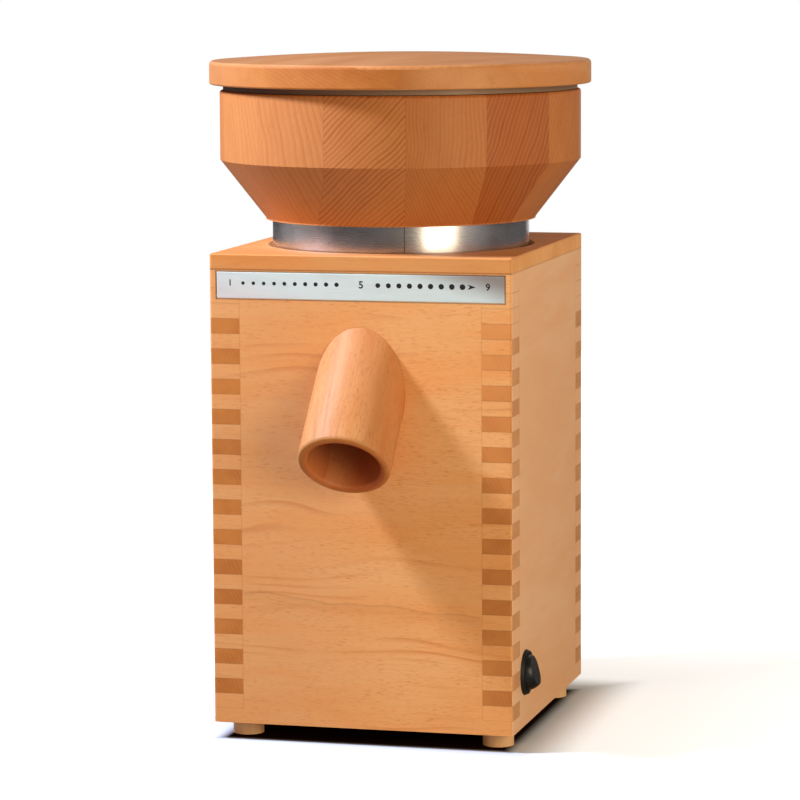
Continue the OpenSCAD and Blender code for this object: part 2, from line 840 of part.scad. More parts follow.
module stator_core() {
    color(DARK_STEEL) translate([0, 0, stack_z]) difference() {
        ring(motor_r, rotor_r + air_gap, stack_h);
        for (k = [0 : slot_count - 1]) rotate([0, 0, k * 360 / slot_count])
            translate([rotor_r + air_gap - CUT, -slot_w / 2, -CUT])
                cube([slot_depth + CUT, slot_w, stack_h + 2 * CUT]);
        around(motor_bolt_circle, [0 : 90 : 270]) translate([0, 0, -CUT])
            cylinder(r = bolt_r + GLUE, h = stack_h + 2 * CUT);
    }
}

module stator_windings() {
    bar_w = slot_w - 2 * GLUE;
    bar_r = rotor_r + air_gap + 1;
    head_w = winding_r - bar_r;
    soft = 3;
    color(COPPER) {
        for (k = [0 : slot_count - 1]) rotate([0, 0, k * 360 / slot_count])
            translate([bar_r, -bar_w / 2, stack_z - CUT])
                cube([slot_depth - 1 - GLUE, bar_w, stack_h + 2 * CUT]);
        for (z = [stack_z - winding_h, stack_top]) translate([0, 0, z])
            rotate_extrude() translate([bar_r, 0])
                polygon([[soft / 3, 0], [head_w - soft, 0], [head_w, soft],
                         [head_w, winding_h - soft], [head_w - soft, winding_h],
                         [soft / 3, winding_h], [0, winding_h - soft], [0, soft]]);
    }
}

module motor_bolts() {
    color(DARK_STEEL) around(motor_bolt_circle, [0 : 90 : 270])
        translate([0, 0, motor_z - head_h])
            screw(bolt_r, chamber_z + motor_bolt_bite - 1 - motor_z, head_r, head_h);
}

// A sealed ball bearing, with a groove between the inner and the outer ring on each face
module bearing() {
    groove = 0.6;
    mid = (journal_r + bearing_r) / 2;
    color(STEEL) rotate_extrude() difference() {
        translate([journal_r + SHAFT_FIT, 0])
            square([bearing_r - journal_r - SHAFT_FIT, bearing_w]);
        for (z = [-CUT, bearing_w - groove]) translate([mid - 2.5, z]) square([5, groove + CUT]);
    }
}

module upper_bearing() {
    translate([0, 0, bearing_top_z]) bearing();
}

module lower_bearing() {
    translate([0, 0, bearing_low_z]) bearing();
}

module motor_shaft() {
    low = bearing_low_z + bearing_w + RUN;
    high = bearing_top_z - RUN;
    fan_step = motor_z - 2;
    seal_step = motor_top - 2;
    color(STEEL) difference() {
        rotate_extrude() polygon([[0, shaft_z], [fan_seat_r, shaft_z],
            [fan_seat_r, fan_step], [journal_r, fan_step], [journal_r, low],
            [core_r, low], [core_r, high], [journal_r, high], [journal_r, seal_step],
            [shaft_top_r, seal_step], [shaft_top_r, shaft_top], [0, shaft_top]]);
        translate([0, 0, shaft_top - clamp_bite - CUT])
            cylinder(r = clamp_r + SHAFT_FIT, h = clamp_bite + 2 * CUT);
    }
}

module rotor_core() {
    cage = 6;
    cage_r = rotor_r - 3;
    cage_w = 11;
    color(DARK_STEEL) difference() {
        union() {
            translate([0, 0, stack_z]) cylinder(r = rotor_r, h = stack_h);
            for (z = [stack_z - cage, stack_top]) translate([0, 0, z])
                ring(cage_r, cage_r - cage_w, cage);
        }
        translate([0, 0, stack_z - cage]) cylinder(r = core_r + SHAFT_FIT, h = stack_h + 2 * cage);
    }
}

module cooling_fan() {
    disc = 2;
    blade = 2;
    color(BLACK) translate([0, 0, fan_z]) difference() {
        union() {
            cylinder(r = hub_r, h = fan_h);
            translate([0, 0, fan_h - disc]) cylinder(r = fan_r, h = disc);
            for (k = [0 : fan_blades - 1]) rotate([0, 0, k * 360 / fan_blades])
                translate([hub_r - 1, -blade / 2, 0])
                    cube([fan_r - hub_r - 1, blade, fan_h - disc / 2]);
        }
        translate([0, 0, -CUT]) cylinder(r = fan_seat_r + SHAFT_FIT, h = fan_h + 2 * CUT);
    }
}

// ---------------------------------------------------------------- stones

module stone_hub() {
    color(ALU) difference() {
        union() {
            translate([0, 0, wiper_z - 0.5]) cylinder(r = hub_r, h = gap_z - wiper_z + 0.5);
            translate([0, 0, hub_z - hub_flange]) cylinder(r = hub_flange_r, h = hub_flange);
        }
        translate([0, 0, wiper_z - CUT])
            cylinder(r = shaft_top_r + SHAFT_FIT, h = shaft_top - wiper_z + CUT);
        translate([0, 0, wiper_z]) cylinder(r = clamp_r + GLUE, h = gap_z - wiper_z + CUT);
    }
}

module lower_millstone() {
    color(STONE) difference() {
        translate([0, 0, hub_z]) cylinder(r = stone_r, h = lower_stone_t);
        translate([0, 0, hub_z - CUT]) cylinder(r = hub_r + GLUE, h = lower_stone_t + 2 * CUT);
        translate([0, 0, gap_z]) furrow_cut(eye_r);
    }
}

// Straight furrows that fan out from the eye in groups, as a cut into a face at z = 0 that
// looks up. They are deepest at the eye.
module furrow_cut(eye) {
    slope = atan(furrow_depth / stone_r);
    turn = 0.45;
    for (g = [0 : furrow_groups - 1], lane = [0, 1])
        rotate([0, 0, (g + lane * turn) * 360 / furrow_groups])
            translate([eye * 0.2 + lane * (stone_r - eye) * turn, eye * 0.8, 0])
                rotate([0, -slope, 0]) translate([0, 0, -furrow_depth])
                    cube([stone_r * 1.3, furrow_w * (1 - lane / 4), furrow_depth * 4]);
}

module upper_millstone() {
    color(STONE) difference() {
        translate([0, 0, upper_z]) cylinder(r = stone_r, h = upper_stone_t);
        translate([0, 0, upper_z - CUT]) cylinder(r = eye_r, h = upper_stone_t + 2 * CUT);
        translate([0, 0, upper_top - eye_bevel])
            cylinder(r1 = eye_r, r2 = eye_r + eye_bevel, h = eye_bevel + 0.01);
        translate([0, 0, upper_z]) mirror([0, 0, 1]) furrow_cut(eye_r);
    }
}

module wiper_ring() {
    vane_r = chamber_r - 1.5;
    vane_w = 4;
    band = 3.5;
    color(BLACK) translate([0, 0, wiper_z]) difference() {
        union() {
            cylinder(r = hub_flange_r + band, h = hub_flange);
            for (a = [0 : 90 : 270]) rotate([0, 0, a]) translate([hub_flange_r, -vane_w / 2, 0])
                cube([vane_r - hub_flange_r, vane_w, hub_flange]);
        }
        translate([0, 0, -CUT]) cylinder(r = hub_flange_r + GLUE, h = hub_flange + 2 * CUT);
    }
}

// The bolt and washer that hold the hub down on the shaft
module shaft_bolt() {
    washer = 2;
    color(STEEL) {
        translate([0, 0, gap_z]) cylinder(r = eye_r - 2, h = washer);
        translate([0, 0, gap_z + washer]) cylinder(r = 2 * clamp_r, h = head_h, $fn = 6);
        translate([0, 0, shaft_top - clamp_bite])
            cylinder(r = clamp_r, h = gap_z + CUT - shaft_top + clamp_bite);
    }
}

module stone_carrier() {
    cup_r = stone_r + 3.5;
    lug_root = cup_r - 1.5;
    lug_end = pin_circle + 2.5;
    color(ALU) difference() {
        union() {
            translate([0, 0, upper_top]) cylinder(r = carrier_plate_r, h = carrier_t);
            translate([0, 0, lug_z]) cylinder(r = cup_r, h = upper_top - lug_z);
            around(0, pin_angles) translate([lug_root, -lug_w / 2, lug_z])
                cube([lug_end - lug_root, lug_w, lug_t]);
        }
        translate([0, 0, lug_z - CUT]) cylinder(r = stone_r + GLUE, h = upper_top - lug_z + CUT);
        translate([0, 0, upper_top - CUT])
            cylinder(r = eye_r + eye_bevel + 1.5, h = carrier_t + 2 * CUT);
        around(pin_circle, pin_angles) translate([0, 0, lug_z - CUT])
            cylinder(r = pin_r + SHAFT_FIT, h = lug_t + 2 * CUT);
    }
}

// ---------------------------------------------------------------- hopper

module hopper_bowl() {
    rim = bowl_r - bowl_wall;
    edge = bowl_rim_round;
    color(BEECH) difference() {
        rotate_extrude() {
            polygon([[throat_r, bowl_z], [bowl_foot_r, bowl_z],
                [bowl_foot_r, bowl_z + bowl_lip], [bowl_r, bowl_edge_z], [bowl_r, bowl_top - edge],
                [bowl_r - edge, bowl_top], [rim + edge, bowl_top], [rim, bowl_top - edge],
                [rim, bowl_funnel_z], [throat_r, bowl_throat_z]]);
            for (r = [rim + edge, bowl_r - edge]) translate([r, bowl_top - edge]) circle(edge);
        }
        hopper_screw_places()
            cylinder(r = hopper_screw_r + SHAFT_FIT, h = hopper_screw_bite + hopper_head_h + 2 * CUT);
    }
}

// The screws that hold sleeve and collar to the bowl, with z = 0 on the bowl's underside
module hopper_screw_places() {
    around(hopper_screw_circle, [45 : 90 : 315]) translate([0, 0, bowl_z - CUT]) children();
}

module steel_collar() {
    color(STEEL) difference() {
        union() {
            translate([0, 0, collar_z]) ring(collar_r, collar_r - collar_t, bowl_z - collar_z);
            translate([0, 0, sleeve_top]) ring(collar_r, collar_flange_r, collar_t);
        }
        around(hopper_screw_circle, [45 : 90 : 315]) translate([0, 0, sleeve_top - CUT])
            cylinder(r = hopper_screw_r + GLUE, h = collar_t + 2 * CUT);
    }
}

module thread_sleeve() {
    rim = sleeve_r - sleeve_wall;
    flange_z = sleeve_top - sleeve_flange;
    guard = throat_r - 3;
    mouth = eye_r + 5;
    lip = 2;
    color(ALU) difference() {
        rotate_extrude() polygon([[rim, sleeve_z], [sleeve_r, sleeve_z], [sleeve_r, flange_z],
            [sleeve_flange_r, flange_z], [sleeve_flange_r, sleeve_top],
            [collar_flange_r - GLUE, sleeve_top], [collar_flange_r - GLUE, bowl_z],
            [guard, bowl_z], [mouth, sleeve_z + 1], [mouth + lip, sleeve_z + 1],
            [guard + lip, flange_z], [rim, flange_z]]);
        around(hopper_screw_circle, [45 : 90 : 315]) translate([0, 0, flange_z - CUT])
            cylinder(r = hopper_screw_r + GLUE, h = sleeve_flange + 2 * CUT);
    }
}

// A flat star across the throat that keeps fingers away from the stones
module finger_guard() {
    bar_w = 2.6;
    color(STEEL) translate([0, 0, bowl_z]) {
        ring(throat_r - GLUE, throat_r - 2.5, guard_h);
        for (a = [0, 60, 120]) rotate([0, 0, a])
            translate([-throat_r + 1, -bar_w / 2, 0]) cube([2 * throat_r - 2, bar_w, guard_h - 1]);
    }
}

module hopper_screws() {
    color(STEEL) around(hopper_screw_circle, [45 : 90 : 315])
        translate([0, 0, sleeve_top - sleeve_flange - hopper_head_h])
            screw(hopper_screw_r, sleeve_flange + collar_t + hopper_screw_bite, 2 * hopper_screw_r,
                  hopper_head_h);
}

// ---------------------------------------------------------------- lid

module lid_disc() {
    top_r = lid_r - lid_round;
    shoulder = lid_t - lid_crown;
    dome = [for (k = [1 : -1 / dome_steps : 0]) [top_r * k, shoulder + lid_crown * (1 - k * k)]];
    color(BEECH) translate([0, 0, lid_z]) rotate_extrude() {
        polygon(concat([[0, 0], [lid_r - lid_under, 0], [lid_r, lid_under],
                        [lid_r, shoulder - lid_round]], dome));
        translate([lid_r - lid_under, lid_under]) circle(lid_under);
        translate([top_r, shoulder - lid_round]) circle(lid_round);
    }
}

module lid_ring() {
    color("#B3ABA0") rotate_extrude() polygon([[rim_r - rim_w, bowl_top - rim_h],
        [rim_r, bowl_top - rim_h], [rim_r, bowl_top + RUN], [lid_ring_r, bowl_top + RUN],
        [lid_ring_r, lid_z], [rim_r - rim_w, lid_z]]);
}

// ---------------------------------------------------------------- motor electrics

module capacitor() {
    color(PALE_PLASTIC) translate([0, cap_y, cap_z]) rotate([0, 90, 0]) {
        cylinder(r = cap_r, h = cap_len, center = true);
        for (x = [-1, 1] * tab_space / 2)
            translate([x - tab_w / 2, -tab_t / 2, cap_len / 2]) cube([tab_w, tab_t, tab_l]);
    }
}

module capacitor_clip() {
    color(STEEL) difference() {
        union() {
            translate([0, cap_y, cap_z]) rotate([0, 90, 0])
                cylinder(r = cap_r + GLUE + clip_t, h = clip_w, center = true);
            translate([-clip_w / 2, cap_y - cap_r - clip_foot, floor_z])
                cube([clip_w, cap_r + clip_foot, clip_t]);
        }
        translate([0, cap_y, cap_z]) rotate([0, 90, 0])
            cylinder(r = cap_r + GLUE, h = clip_w + 2 * CUT, center = true);
    }
}

// Middle of one pole of the terminal block
function pole_x(k) = block_x + (k - (poles - 1) / 2) * (pole_w + pole_gap);

module terminal_block() {
    color(PALE_PLASTIC) difference() {
        union() {
            translate([block_x - block_w / 2, block_y - block_d / 2, floor_z])
                cube([block_w, block_d, block_base]);
            for (k = [0 : poles - 1])
                translate([pole_x(k) - pole_w / 2, block_y - pole_d / 2, floor_z])
                    cube([pole_w, pole_d, pole_h]);
        }
        for (k = [0 : poles - 1])
            translate([pole_x(k), block_y, pole_seat_z]) cylinder(r = pole_bore, h = pole_h);
    }
}

// ---------------------------------------------------------------- lead wires

function unit(v) = v / norm(v);

function reversed(list) = [for (i = [len(list) - 1 : -1 : 0]) list[i]];

// A point on a smooth curve through the points p, at the share t of the way from p[i] to the next
function curve_point(p, i, t) =
    let (a = p[max(i - 1, 0)], b = p[i], c = p[i + 1], d = p[min(i + 2, len(p) - 1)])
    (2 * b + (c - a) * t + (2 * a - 5 * b + 4 * c - d) * t * t + (3 * b - 3 * c + d - a) * t * t * t) / 2;

function curve(p, steps) =
    [for (i = [0 : len(p) - 2], j = [0 : steps - 1]) curve_point(p, i, j / steps), p[len(p) - 1]];

// The curve's direction at each of its points
function headings(p) =
    [for (i = [0 : len(p) - 1]) unit(p[min(i + 1, len(p) - 1)] - p[max(i - 1, 0)])];

// A sideways direction for each heading, from i on, turned as little as possible from the last one
function sideways(heading, i, last) = i == len(heading) ? [] :
    let (next = unit(last - (last * heading[i]) * heading[i]))
    concat([next], sideways(heading, i + 1, next));

// A round wire along a curve through the points. Its first stretch is level.
module lead(points) {
    line = curve(points, lead_steps);
    heading = headings(line);
    side = sideways(heading, 0, cross(heading[0], [0, 0, 1]));
    polyhedron(
        points = [for (i = [0 : len(line) - 1], j = [0 : lead_sides - 1])
            let (a = 360 * j / lead_sides)
            line[i] + lead_r * (cos(a) * side[i] + sin(a) * cross(side[i], heading[i]))],
        faces = swept_faces(len(line), lead_sides));
}

// From the lower winding head out through a window of the lower shield, and down beside the motor
function window_run(a) =
    [for (at = [[winding_r + RUN, lead_z], [motor_r + 1, lead_z], [lead_run_r, lead_z - lead_sag],
                [lead_run_r, fan_z + 1]])
        [at[0] * cos(a), at[0] * sin(a), at[1]]];

// Down into one pole of the terminal block
function pole_run(k) =
    [for (z = [lead_drop, lead_drop - lead_plunge, RUN]) [pole_x(k), block_y, pole_seat_z + z]];

module motor_leads() {
    color("#8C5A2E") for (k = [0, 1])
        lead(concat(window_run(225 + (2 * k - 1) * lead_turn), pole_run(k)));
}

module switch_leads() {
    color("#3A3D42") for (k = [0, 1]) {
        z = switch_z + (1 - 2 * k) * tab_space / 2;
        lead(concat([[switch_tab_x - RUN, switch_y, z], [switch_tab_x - tab_run, switch_y, z],
                     [lead_apart * k, switch_y + 3, fan_z - 3 - lead_step * k]], pole_run(2 + k)));
    }
}

module capacitor_leads() {
    color("#6E7278") for (k = [0, 1]) {
        z = cap_z + (1 - 2 * k) * tab_space / 2;
        lead(concat([[cap_tab_x + RUN, cap_y, z], [cap_tab_x + 7 + 3 * k, cap_y - 1, z + 2],
                     [cap_tab_x + 7 + 5 * k, cap_y - 5 - 2 * k, z + 10 + 3 * k]],
                    reversed(window_run(45 + (1 - 2 * k) * lead_turn))));
    }
}

front_panel();
back_panel();
left_panel();
right_panel();
top_board();
bottom_plate();
base_battens();
base_screws();
feet();
scale_plate();
spout();
switch_body();
switch_rocker();
cord_gland();
gland_nut();
mill_chamber();
thread_ring();
chamber_bolts();
guide_pins();
stone_springs();
shaft_seal();
upper_end_shield();
lower_end_shield();
stator_core();
stator_windings();
motor_bolts();
upper_bearing();
lower_bearing();
motor_shaft();
rotor_core();
cooling_fan();
stone_hub();
lower_millstone();
wiper_ring();
shaft_bolt();
upper_millstone();
stone_carrier();
hopper_bowl();
steel_collar();
thread_sleeve();
finger_guard();
hopper_screws();
lid_disc();
lid_ring();
capacitor();
capacitor_clip();
terminal_block();
switch_leads();
motor_leads();
capacitor_leads();
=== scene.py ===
"""Looks of an electric grain mill: a finger-jointed beech case with a turned spout, a steel scale,
a glued and turned hopper with its lid, and the motor and the millstones inside.
Metres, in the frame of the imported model. Wood grain and printed marks are in millimetres."""

import math

import bmesh
import bpy
from mathutils import Matrix, Vector


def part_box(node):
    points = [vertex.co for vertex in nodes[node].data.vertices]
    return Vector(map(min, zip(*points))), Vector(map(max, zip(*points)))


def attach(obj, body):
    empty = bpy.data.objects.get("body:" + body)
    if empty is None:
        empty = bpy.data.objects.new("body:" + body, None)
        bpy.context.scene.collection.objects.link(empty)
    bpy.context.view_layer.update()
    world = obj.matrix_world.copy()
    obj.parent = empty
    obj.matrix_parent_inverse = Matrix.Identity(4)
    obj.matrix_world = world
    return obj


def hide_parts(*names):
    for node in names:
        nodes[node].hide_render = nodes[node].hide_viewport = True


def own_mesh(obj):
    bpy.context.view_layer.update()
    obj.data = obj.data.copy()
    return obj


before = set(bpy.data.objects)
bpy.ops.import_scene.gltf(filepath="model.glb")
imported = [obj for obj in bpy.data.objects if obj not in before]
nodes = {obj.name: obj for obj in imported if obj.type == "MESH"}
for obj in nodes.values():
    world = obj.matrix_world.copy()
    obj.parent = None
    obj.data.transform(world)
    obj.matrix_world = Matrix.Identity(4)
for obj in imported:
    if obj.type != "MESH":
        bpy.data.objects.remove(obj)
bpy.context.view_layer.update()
MM = 0.001


def limits(node):
    """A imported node's lowest and highest corners, in millimetres."""
    return [Vector(corner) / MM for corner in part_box(node)]


CASE_LOW, CASE_HIGH = limits("front_panel")[0], limits("top_board")[1]
PLATE_LOW, PLATE_HIGH = limits("scale_plate")
COLLAR_HIGH = limits("steel_collar")[1]
HALF_WIDTH = CASE_HIGH.x
HALF_DEPTH = CASE_HIGH.y
SEAM_Z = limits("front_panel")[1].z
BOARD = limits("front_panel")[1].y + HALF_DEPTH


# ---------------------------------------------------------------- camera and studio

EYE = Vector((0.55774, -2.11373, 0.46325))
LOOK_LEFT, LOOK_DOWN, LEAN = 14.813, 7.090, -0.3225     # degrees
LENS, SENSOR = 165.06, 36               # millimetres
MIDDLE = Vector((0, 0, 0.2))            # the lamps stand round it


def add(name, data):
    """A new object in the scene."""
    obj = bpy.data.objects.new(name, data)
    bpy.context.scene.collection.objects.link(obj)
    return obj


def set_camera():
    """A long lens in front, a little to the right and above."""
    data = bpy.data.cameras.new("camera")
    data.sensor_width, data.lens = SENSOR, LENS
    data.clip_start, data.clip_end = 0.05, 100
    camera = add("camera", data)
    turn = (Matrix.Rotation(math.radians(LOOK_LEFT), 4, "Z")
            @ Matrix.Rotation(math.radians(90 - LOOK_DOWN), 4, "X")
            @ Matrix.Rotation(math.radians(LEAN), 4, "Z"))
    camera.matrix_world = Matrix.Translation(EYE) @ turn
    bpy.context.scene.camera = camera


def direction(azimuth, elevation):
    """A unit vector. Azimuth 0 is the front, and 90 the right side; degrees."""
    a, e = math.radians(azimuth), math.radians(elevation)
    return Vector((math.sin(a) * math.cos(e), -math.cos(a) * math.cos(e), math.sin(e)))


def set_softbox(name, azimuth, elevation, distance, width, height, share, colour):
    """A lamp that gives a surface facing it that share of the light at which colours look as
    written. Angles are in degrees and lengths in metres."""
    data = bpy.data.lights.new(name, "AREA")
    data.shape, data.size, data.size_y = "RECTANGLE", width, height
    data.energy = share * math.pi ** 2 * distance ** 2
    data.color = colour
    lamp = add(name, data)
    towards = direction(azimuth, elevation)
    lamp.location = MIDDLE + towards * distance
    lamp.rotation_mode = "QUATERNION"
    lamp.rotation_quaternion = towards.to_track_quat("Z", "Y")


# ---------------------------------------------------------------- node tools

def rgb(red, green, blue):
    """A colour from its 0 to 255 values on the screen."""
    def linear(level):
        level /= 255
        return level / 12.92 if level <= 0.04045 else ((level + 0.055) / 1.055) ** 2.4
    return (linear(red), linear(green), linear(blue), 1)


class Value:
    """One output of a node. Arithmetic on it adds Math nodes."""

    def __init__(self, graph, socket):
        self.graph, self.socket = graph, socket

    def math(self, operation, *others, first=None):
        """Puts this number, and then the others, through a Math node. first goes before it."""
        operands = [self if first is None else first, *(others if first is None else (self,))]
        inputs = dict(enumerate(operands))
        return self.graph.node("ShaderNodeMath", {"operation": operation}, inputs)

    def __add__(self, other):
        return self.math("ADD", other)

    def __mul__(self, other):
        return self.math("MULTIPLY", other)

    def __sub__(self, other):
        return self.math("SUBTRACT", other)

    def __rsub__(self, other):
        return self.math("SUBTRACT", first=other)

    def __truediv__(self, other):
        return self.math("DIVIDE", other)

    def __neg__(self):
        return self.math("MULTIPLY", -1)

    __radd__ = __add__
    __rmul__ = __mul__

    def abs(self):
        return self.math("ABSOLUTE")

    def floor(self):
        return self.math("FLOOR")

    def fract(self):
        return self.math("FRACT")

    def most(self, other):
        return self.math("MAXIMUM", other)

    def step(self, low, high):
        """Rises smoothly from 0 to 1 between low and high, or falls where low is the larger."""
        if low > high:
            return 1 - self.step(high, low)
        return self.graph.node("ShaderNodeMapRange", {"interpolation_type": "SMOOTHSTEP"},
                               {"Value": self, "From Min": low, "From Max": high})

    def near(self, place, width):
        """1 at place, falling to 0 at width from it."""
        return (self - place).abs().step(width, 0)

    def scaled(self, low, high):
        """Maps 0 to 1 onto low to high."""
        return self * (high - low) + low

    def parts(self, kind="XYZ"):
        """The three numbers of a vector, or of a colour where kind is Color."""
        vector = "Vector" if kind == "XYZ" else "Color"
        return [self.graph.node("ShaderNodeSeparate" + kind, inputs={vector: self}, output=k)
                for k in range(3)]


class Graph:
    """A node tree that grows one node at a time."""

    def __init__(self, tree):
        self.tree = tree

    def node(self, kind, settings=None, inputs=None, output=0):
        """Adds a node: its settings first, then the values or links of its sockets."""
        made = self.tree.nodes.new(kind)
        for key, value in (settings or {}).items():
            if key == "stops":
                self.fill_ramp(made.color_ramp, value)
            else:
                setattr(made, key, value)
        for key, value in (inputs or {}).items():
            self.join(made.inputs[key], value)
        return Value(self, made.outputs[output])

    def join(self, socket, value):
        """Links a value, or each of a list of them, to a socket, or sets the socket to a number."""
        for single in value if isinstance(value, list) else [value]:
            if isinstance(single, Value):
                self.tree.links.new(single.socket, socket)
            else:
                socket.default_value = single

    @staticmethod
    def fill_ramp(ramp, stops):
        """Sets a colour ramp's stops, given as (position, colour) pairs."""
        while len(ramp.elements) < len(stops):
            ramp.elements.new(1)
        for element, (place, colour) in zip(ramp.elements, stops):
            element.position, element.color = place, colour

    def vector(self, x, y, z):
        """Three numbers as one vector."""
        return self.node("ShaderNodeCombineXYZ", inputs={"X": x, "Y": y, "Z": z})


class Shader(Graph):
    """One surface material, with a Principled shader at its end."""

    def __init__(self, name, **constants):
        self.material = bpy.data.materials.new(name)
        self.material.use_nodes = True
        super().__init__(self.material.node_tree)
        self.surface = self.tree.nodes["Principled BSDF"]
        self.set(**constants)

    def set(self, **sockets):
        """Sets or links the final shader's sockets; base_color stands for Base Color."""
        for key, value in sockets.items():
            label = key.replace("_", " ").title().replace("Ior", "IOR")
            self.join(self.surface.inputs[label], value)

    def place(self):
        """The object coordinates in millimetres, as x, y and z."""
        metres = self.node("ShaderNodeTexCoord", output="Object")
        return [part * (1 / MM) for part in metres.parts()]

    def facing(self):
        """The surface normal in the object's own frame, as three numbers."""
        return self.node("ShaderNodeTexCoord", output="Normal").parts()

    def noise(self, x, y, z, detail=2.0, roughness=0.5, seed=0.0):
        """Cloudy noise from 0 to 1, about one blob for each unit of x, y and z."""
        return self.node("ShaderNodeTexNoise", {"noise_dimensions": "4D"},
                         {"Vector": self.vector(x, y, z), "W": seed, "Scale": 1.0, "Detail": detail,
                          "Roughness": roughness})

    def random(self, number, seed=0.0):
        """A fixed random number from 0 to 1 for each whole number."""
        return self.node("ShaderNodeTexWhiteNoise", {"noise_dimensions": "2D"},
                         {"Vector": self.vector(number, seed, 0.0)})

    def mix(self, share, first, second, blend="MIX"):
        """Blends two colours."""
        return self.node("ShaderNodeMix", {"data_type": "RGBA", "blend_type": blend},
                         {0: share, 6: first, 7: second}, output=2)

    def ramp(self, value, *stops, interpolation="LINEAR"):
        """A colour that follows a number along the stops."""
        made = self.node("ShaderNodeValToRGB", {"stops": stops}, {"Fac": value})
        made.socket.node.color_ramp.interpolation = interpolation
        return made

    def relief(self, height, depth):
        """Bumps of that height in millimetres, as a normal."""
        return self.node("ShaderNodeBump", inputs={"Height": height, "Distance": depth * MM,
                                                   "Strength": 1.0})


# ---------------------------------------------------------------- wood

# Each wood: its pale, middle and deep tones along the grain, and its warm tone in patches
CASE_TONES = rgb(252, 188, 122), rgb(250, 174, 104), rgb(222, 137, 74), rgb(252, 167, 92)
TOP_TONES = rgb(232, 163, 97), rgb(226, 149, 81), rgb(200, 119, 57), rgb(230, 144, 72)
# The side tones are paler than the front's, as painted light; the left board's are darker, as
# painted shade
SIDE_TONES_PAINTED_LIGHT = rgb(252, 200, 155), rgb(248, 189, 140), rgb(227, 161, 111), rgb(250, 183, 130)
LEFT_TONES_PAINTED_SHADE = rgb(238, 170, 110), rgb(232, 156, 92), rgb(206, 124, 66), rgb(236, 150, 82)
SPOUT_TONES = rgb(222, 158, 100), rgb(209, 136, 80), rgb(168, 96, 50), rgb(214, 127, 62)
LID_TONES = rgb(228, 160, 104), rgb(212, 141, 83), rgb(180, 108, 57), rgb(214, 134, 70)
FOOT_TONES = rgb(248, 200, 148), rgb(240, 186, 132), rgb(212, 152, 100), rgb(244, 180, 122)
# End grain: its light, middle and dark tones
END_TONES = rgb(212, 134, 64), rgb(198, 118, 53), rgb(166, 93, 40)
TOP_END_TONES = rgb(250, 182, 116), rgb(240, 168, 100), rgb(204, 134, 76)
FRONT_END_TONES = rgb(226, 164, 112), rgb(214, 150, 98), rgb(180, 116, 70)
# Painted light for the end grain of the right side, and painted shade for the spout's bore
PAINTED_END_LIGHT, PAINTED_BORE_SHADE = rgb(252, 172, 102), rgb(196, 84, 36)
# Tones of painted shade for the left of the front and of the lid
PAINTED_SHADE_BEECH, PAINTED_SHADE_LID = rgb(214, 148, 94), rgb(184, 126, 84)
# Dark lines: glue in the joints, the wood's figure, and painted shade in the gap round the scale
GLUE_AND_SHADE_BROWN = rgb(120, 62, 26)
RING_PITCH, RING_SLOPE = 2.6, 0.5       # of the rings in end grain
# At the front and the rear corners: the height of a finger, and of the first one over the feet
FRONT_FINGER, FRONT_LOW = 8.84, 8.6
REAR_FINGER, REAR_LOW = 9.53, 9.3
# The dark line across the front: its height at the middle, its fall to the right and its waver
FIGURE_Z, FIGURE_FALL, FIGURE_WAVER = 83, 0.065, 9
SPOUT_SLOPE = math.radians(46)
BORE_DEPTH = 2.5                        # of the bore's wall under the spout's outside


def long_grain(s, u, v, w, seed, tones, waver=4.0, figure=0.3, flecks=0.3):
    """Beech cut along the grain. u runs along it, v across the face and w into the wood, in
    millimetres. waver bends the grain; figure and flecks say how clear its lines and pores are.
    Gives the colour and the height of its surface."""
    pale, middle, deep, warm = tones
    drift = s.noise(u / 130, v / 50, w / 50, 1.0, seed=seed) - 0.5
    across = v + drift * (2 * waver)
    cloud = s.noise(u / 110, across / 26, w / 26, 2.0, seed=seed + 1)
    blush = s.noise(u / 60, across / 9, w / 9, 1.0, seed=seed + 2)
    colour = s.mix(cloud.step(0.3, 0.7), pale, middle)
    colour = s.mix(blush.step(0.45, 0.75) * 0.5, colour, warm)
    fibre = s.noise(u / 22, across / 0.9, w / 0.9, 2.0, seed=seed + 3)
    colour = s.mix(fibre.step(0.4, 0.85) * 0.2, colour, deep)
    rings = across / 7 + drift * 4 + s.noise(u / 150, v / 30, w / 30, 1.0, seed=seed + 4) * 3
    line = rings.fract().step(0.5, 0.95) * rings.fract().step(1.0, 0.95)
    strong = s.noise(u / 80, across / 16, w / 16, 1.0, seed=seed + 5).step(0.5, 0.72)
    colour = s.mix(line * strong * figure, colour, deep)
    short = s.noise(u / 4.2, across / 0.6, w / 0.6, 2.0, seed=seed + 6).step(0.5, 0.74)
    crowd = s.noise(u / 40, across / 12, w / 12, 1.0, seed=seed + 7).step(0.3, 0.7)
    pores = short * crowd.scaled(0.35, 1)
    colour = s.mix(pores * flecks, colour, deep)
    return colour, fibre * 0.4 - pores * 0.6


def end_grain(s, v, w, seed, tones):
    """Beech cut across the grain, with its rings as faint slanting lines over v and w."""
    light, middle, dark = tones
    bend = s.noise(v / 30, w / 30, 0.0, 1.0, seed=seed)
    rings = (v * RING_SLOPE + w + bend * 9) / RING_PITCH
    line = rings.fract().step(0.3, 0.92) * rings.fract().step(1.0, 0.92)
    board = s.noise(v / 34, w / 34, 0.0, 2.0, seed=seed + 1)
    cloud = s.noise(v / 6, w / 6, 0.0, 2.0, seed=seed + 2)
    speck = s.noise(v / 0.5, w / 0.5, 0.0, 1.0, seed=seed + 3)
    colour = s.mix((board + cloud * 0.5).step(0.55, 0.95), light, middle)
    colour = s.mix(line * board.step(0.35, 0.6).scaled(0.05, 0.22), colour, dark)
    return s.mix(speck.step(0.5, 0.8) * 0.22, colour, dark)


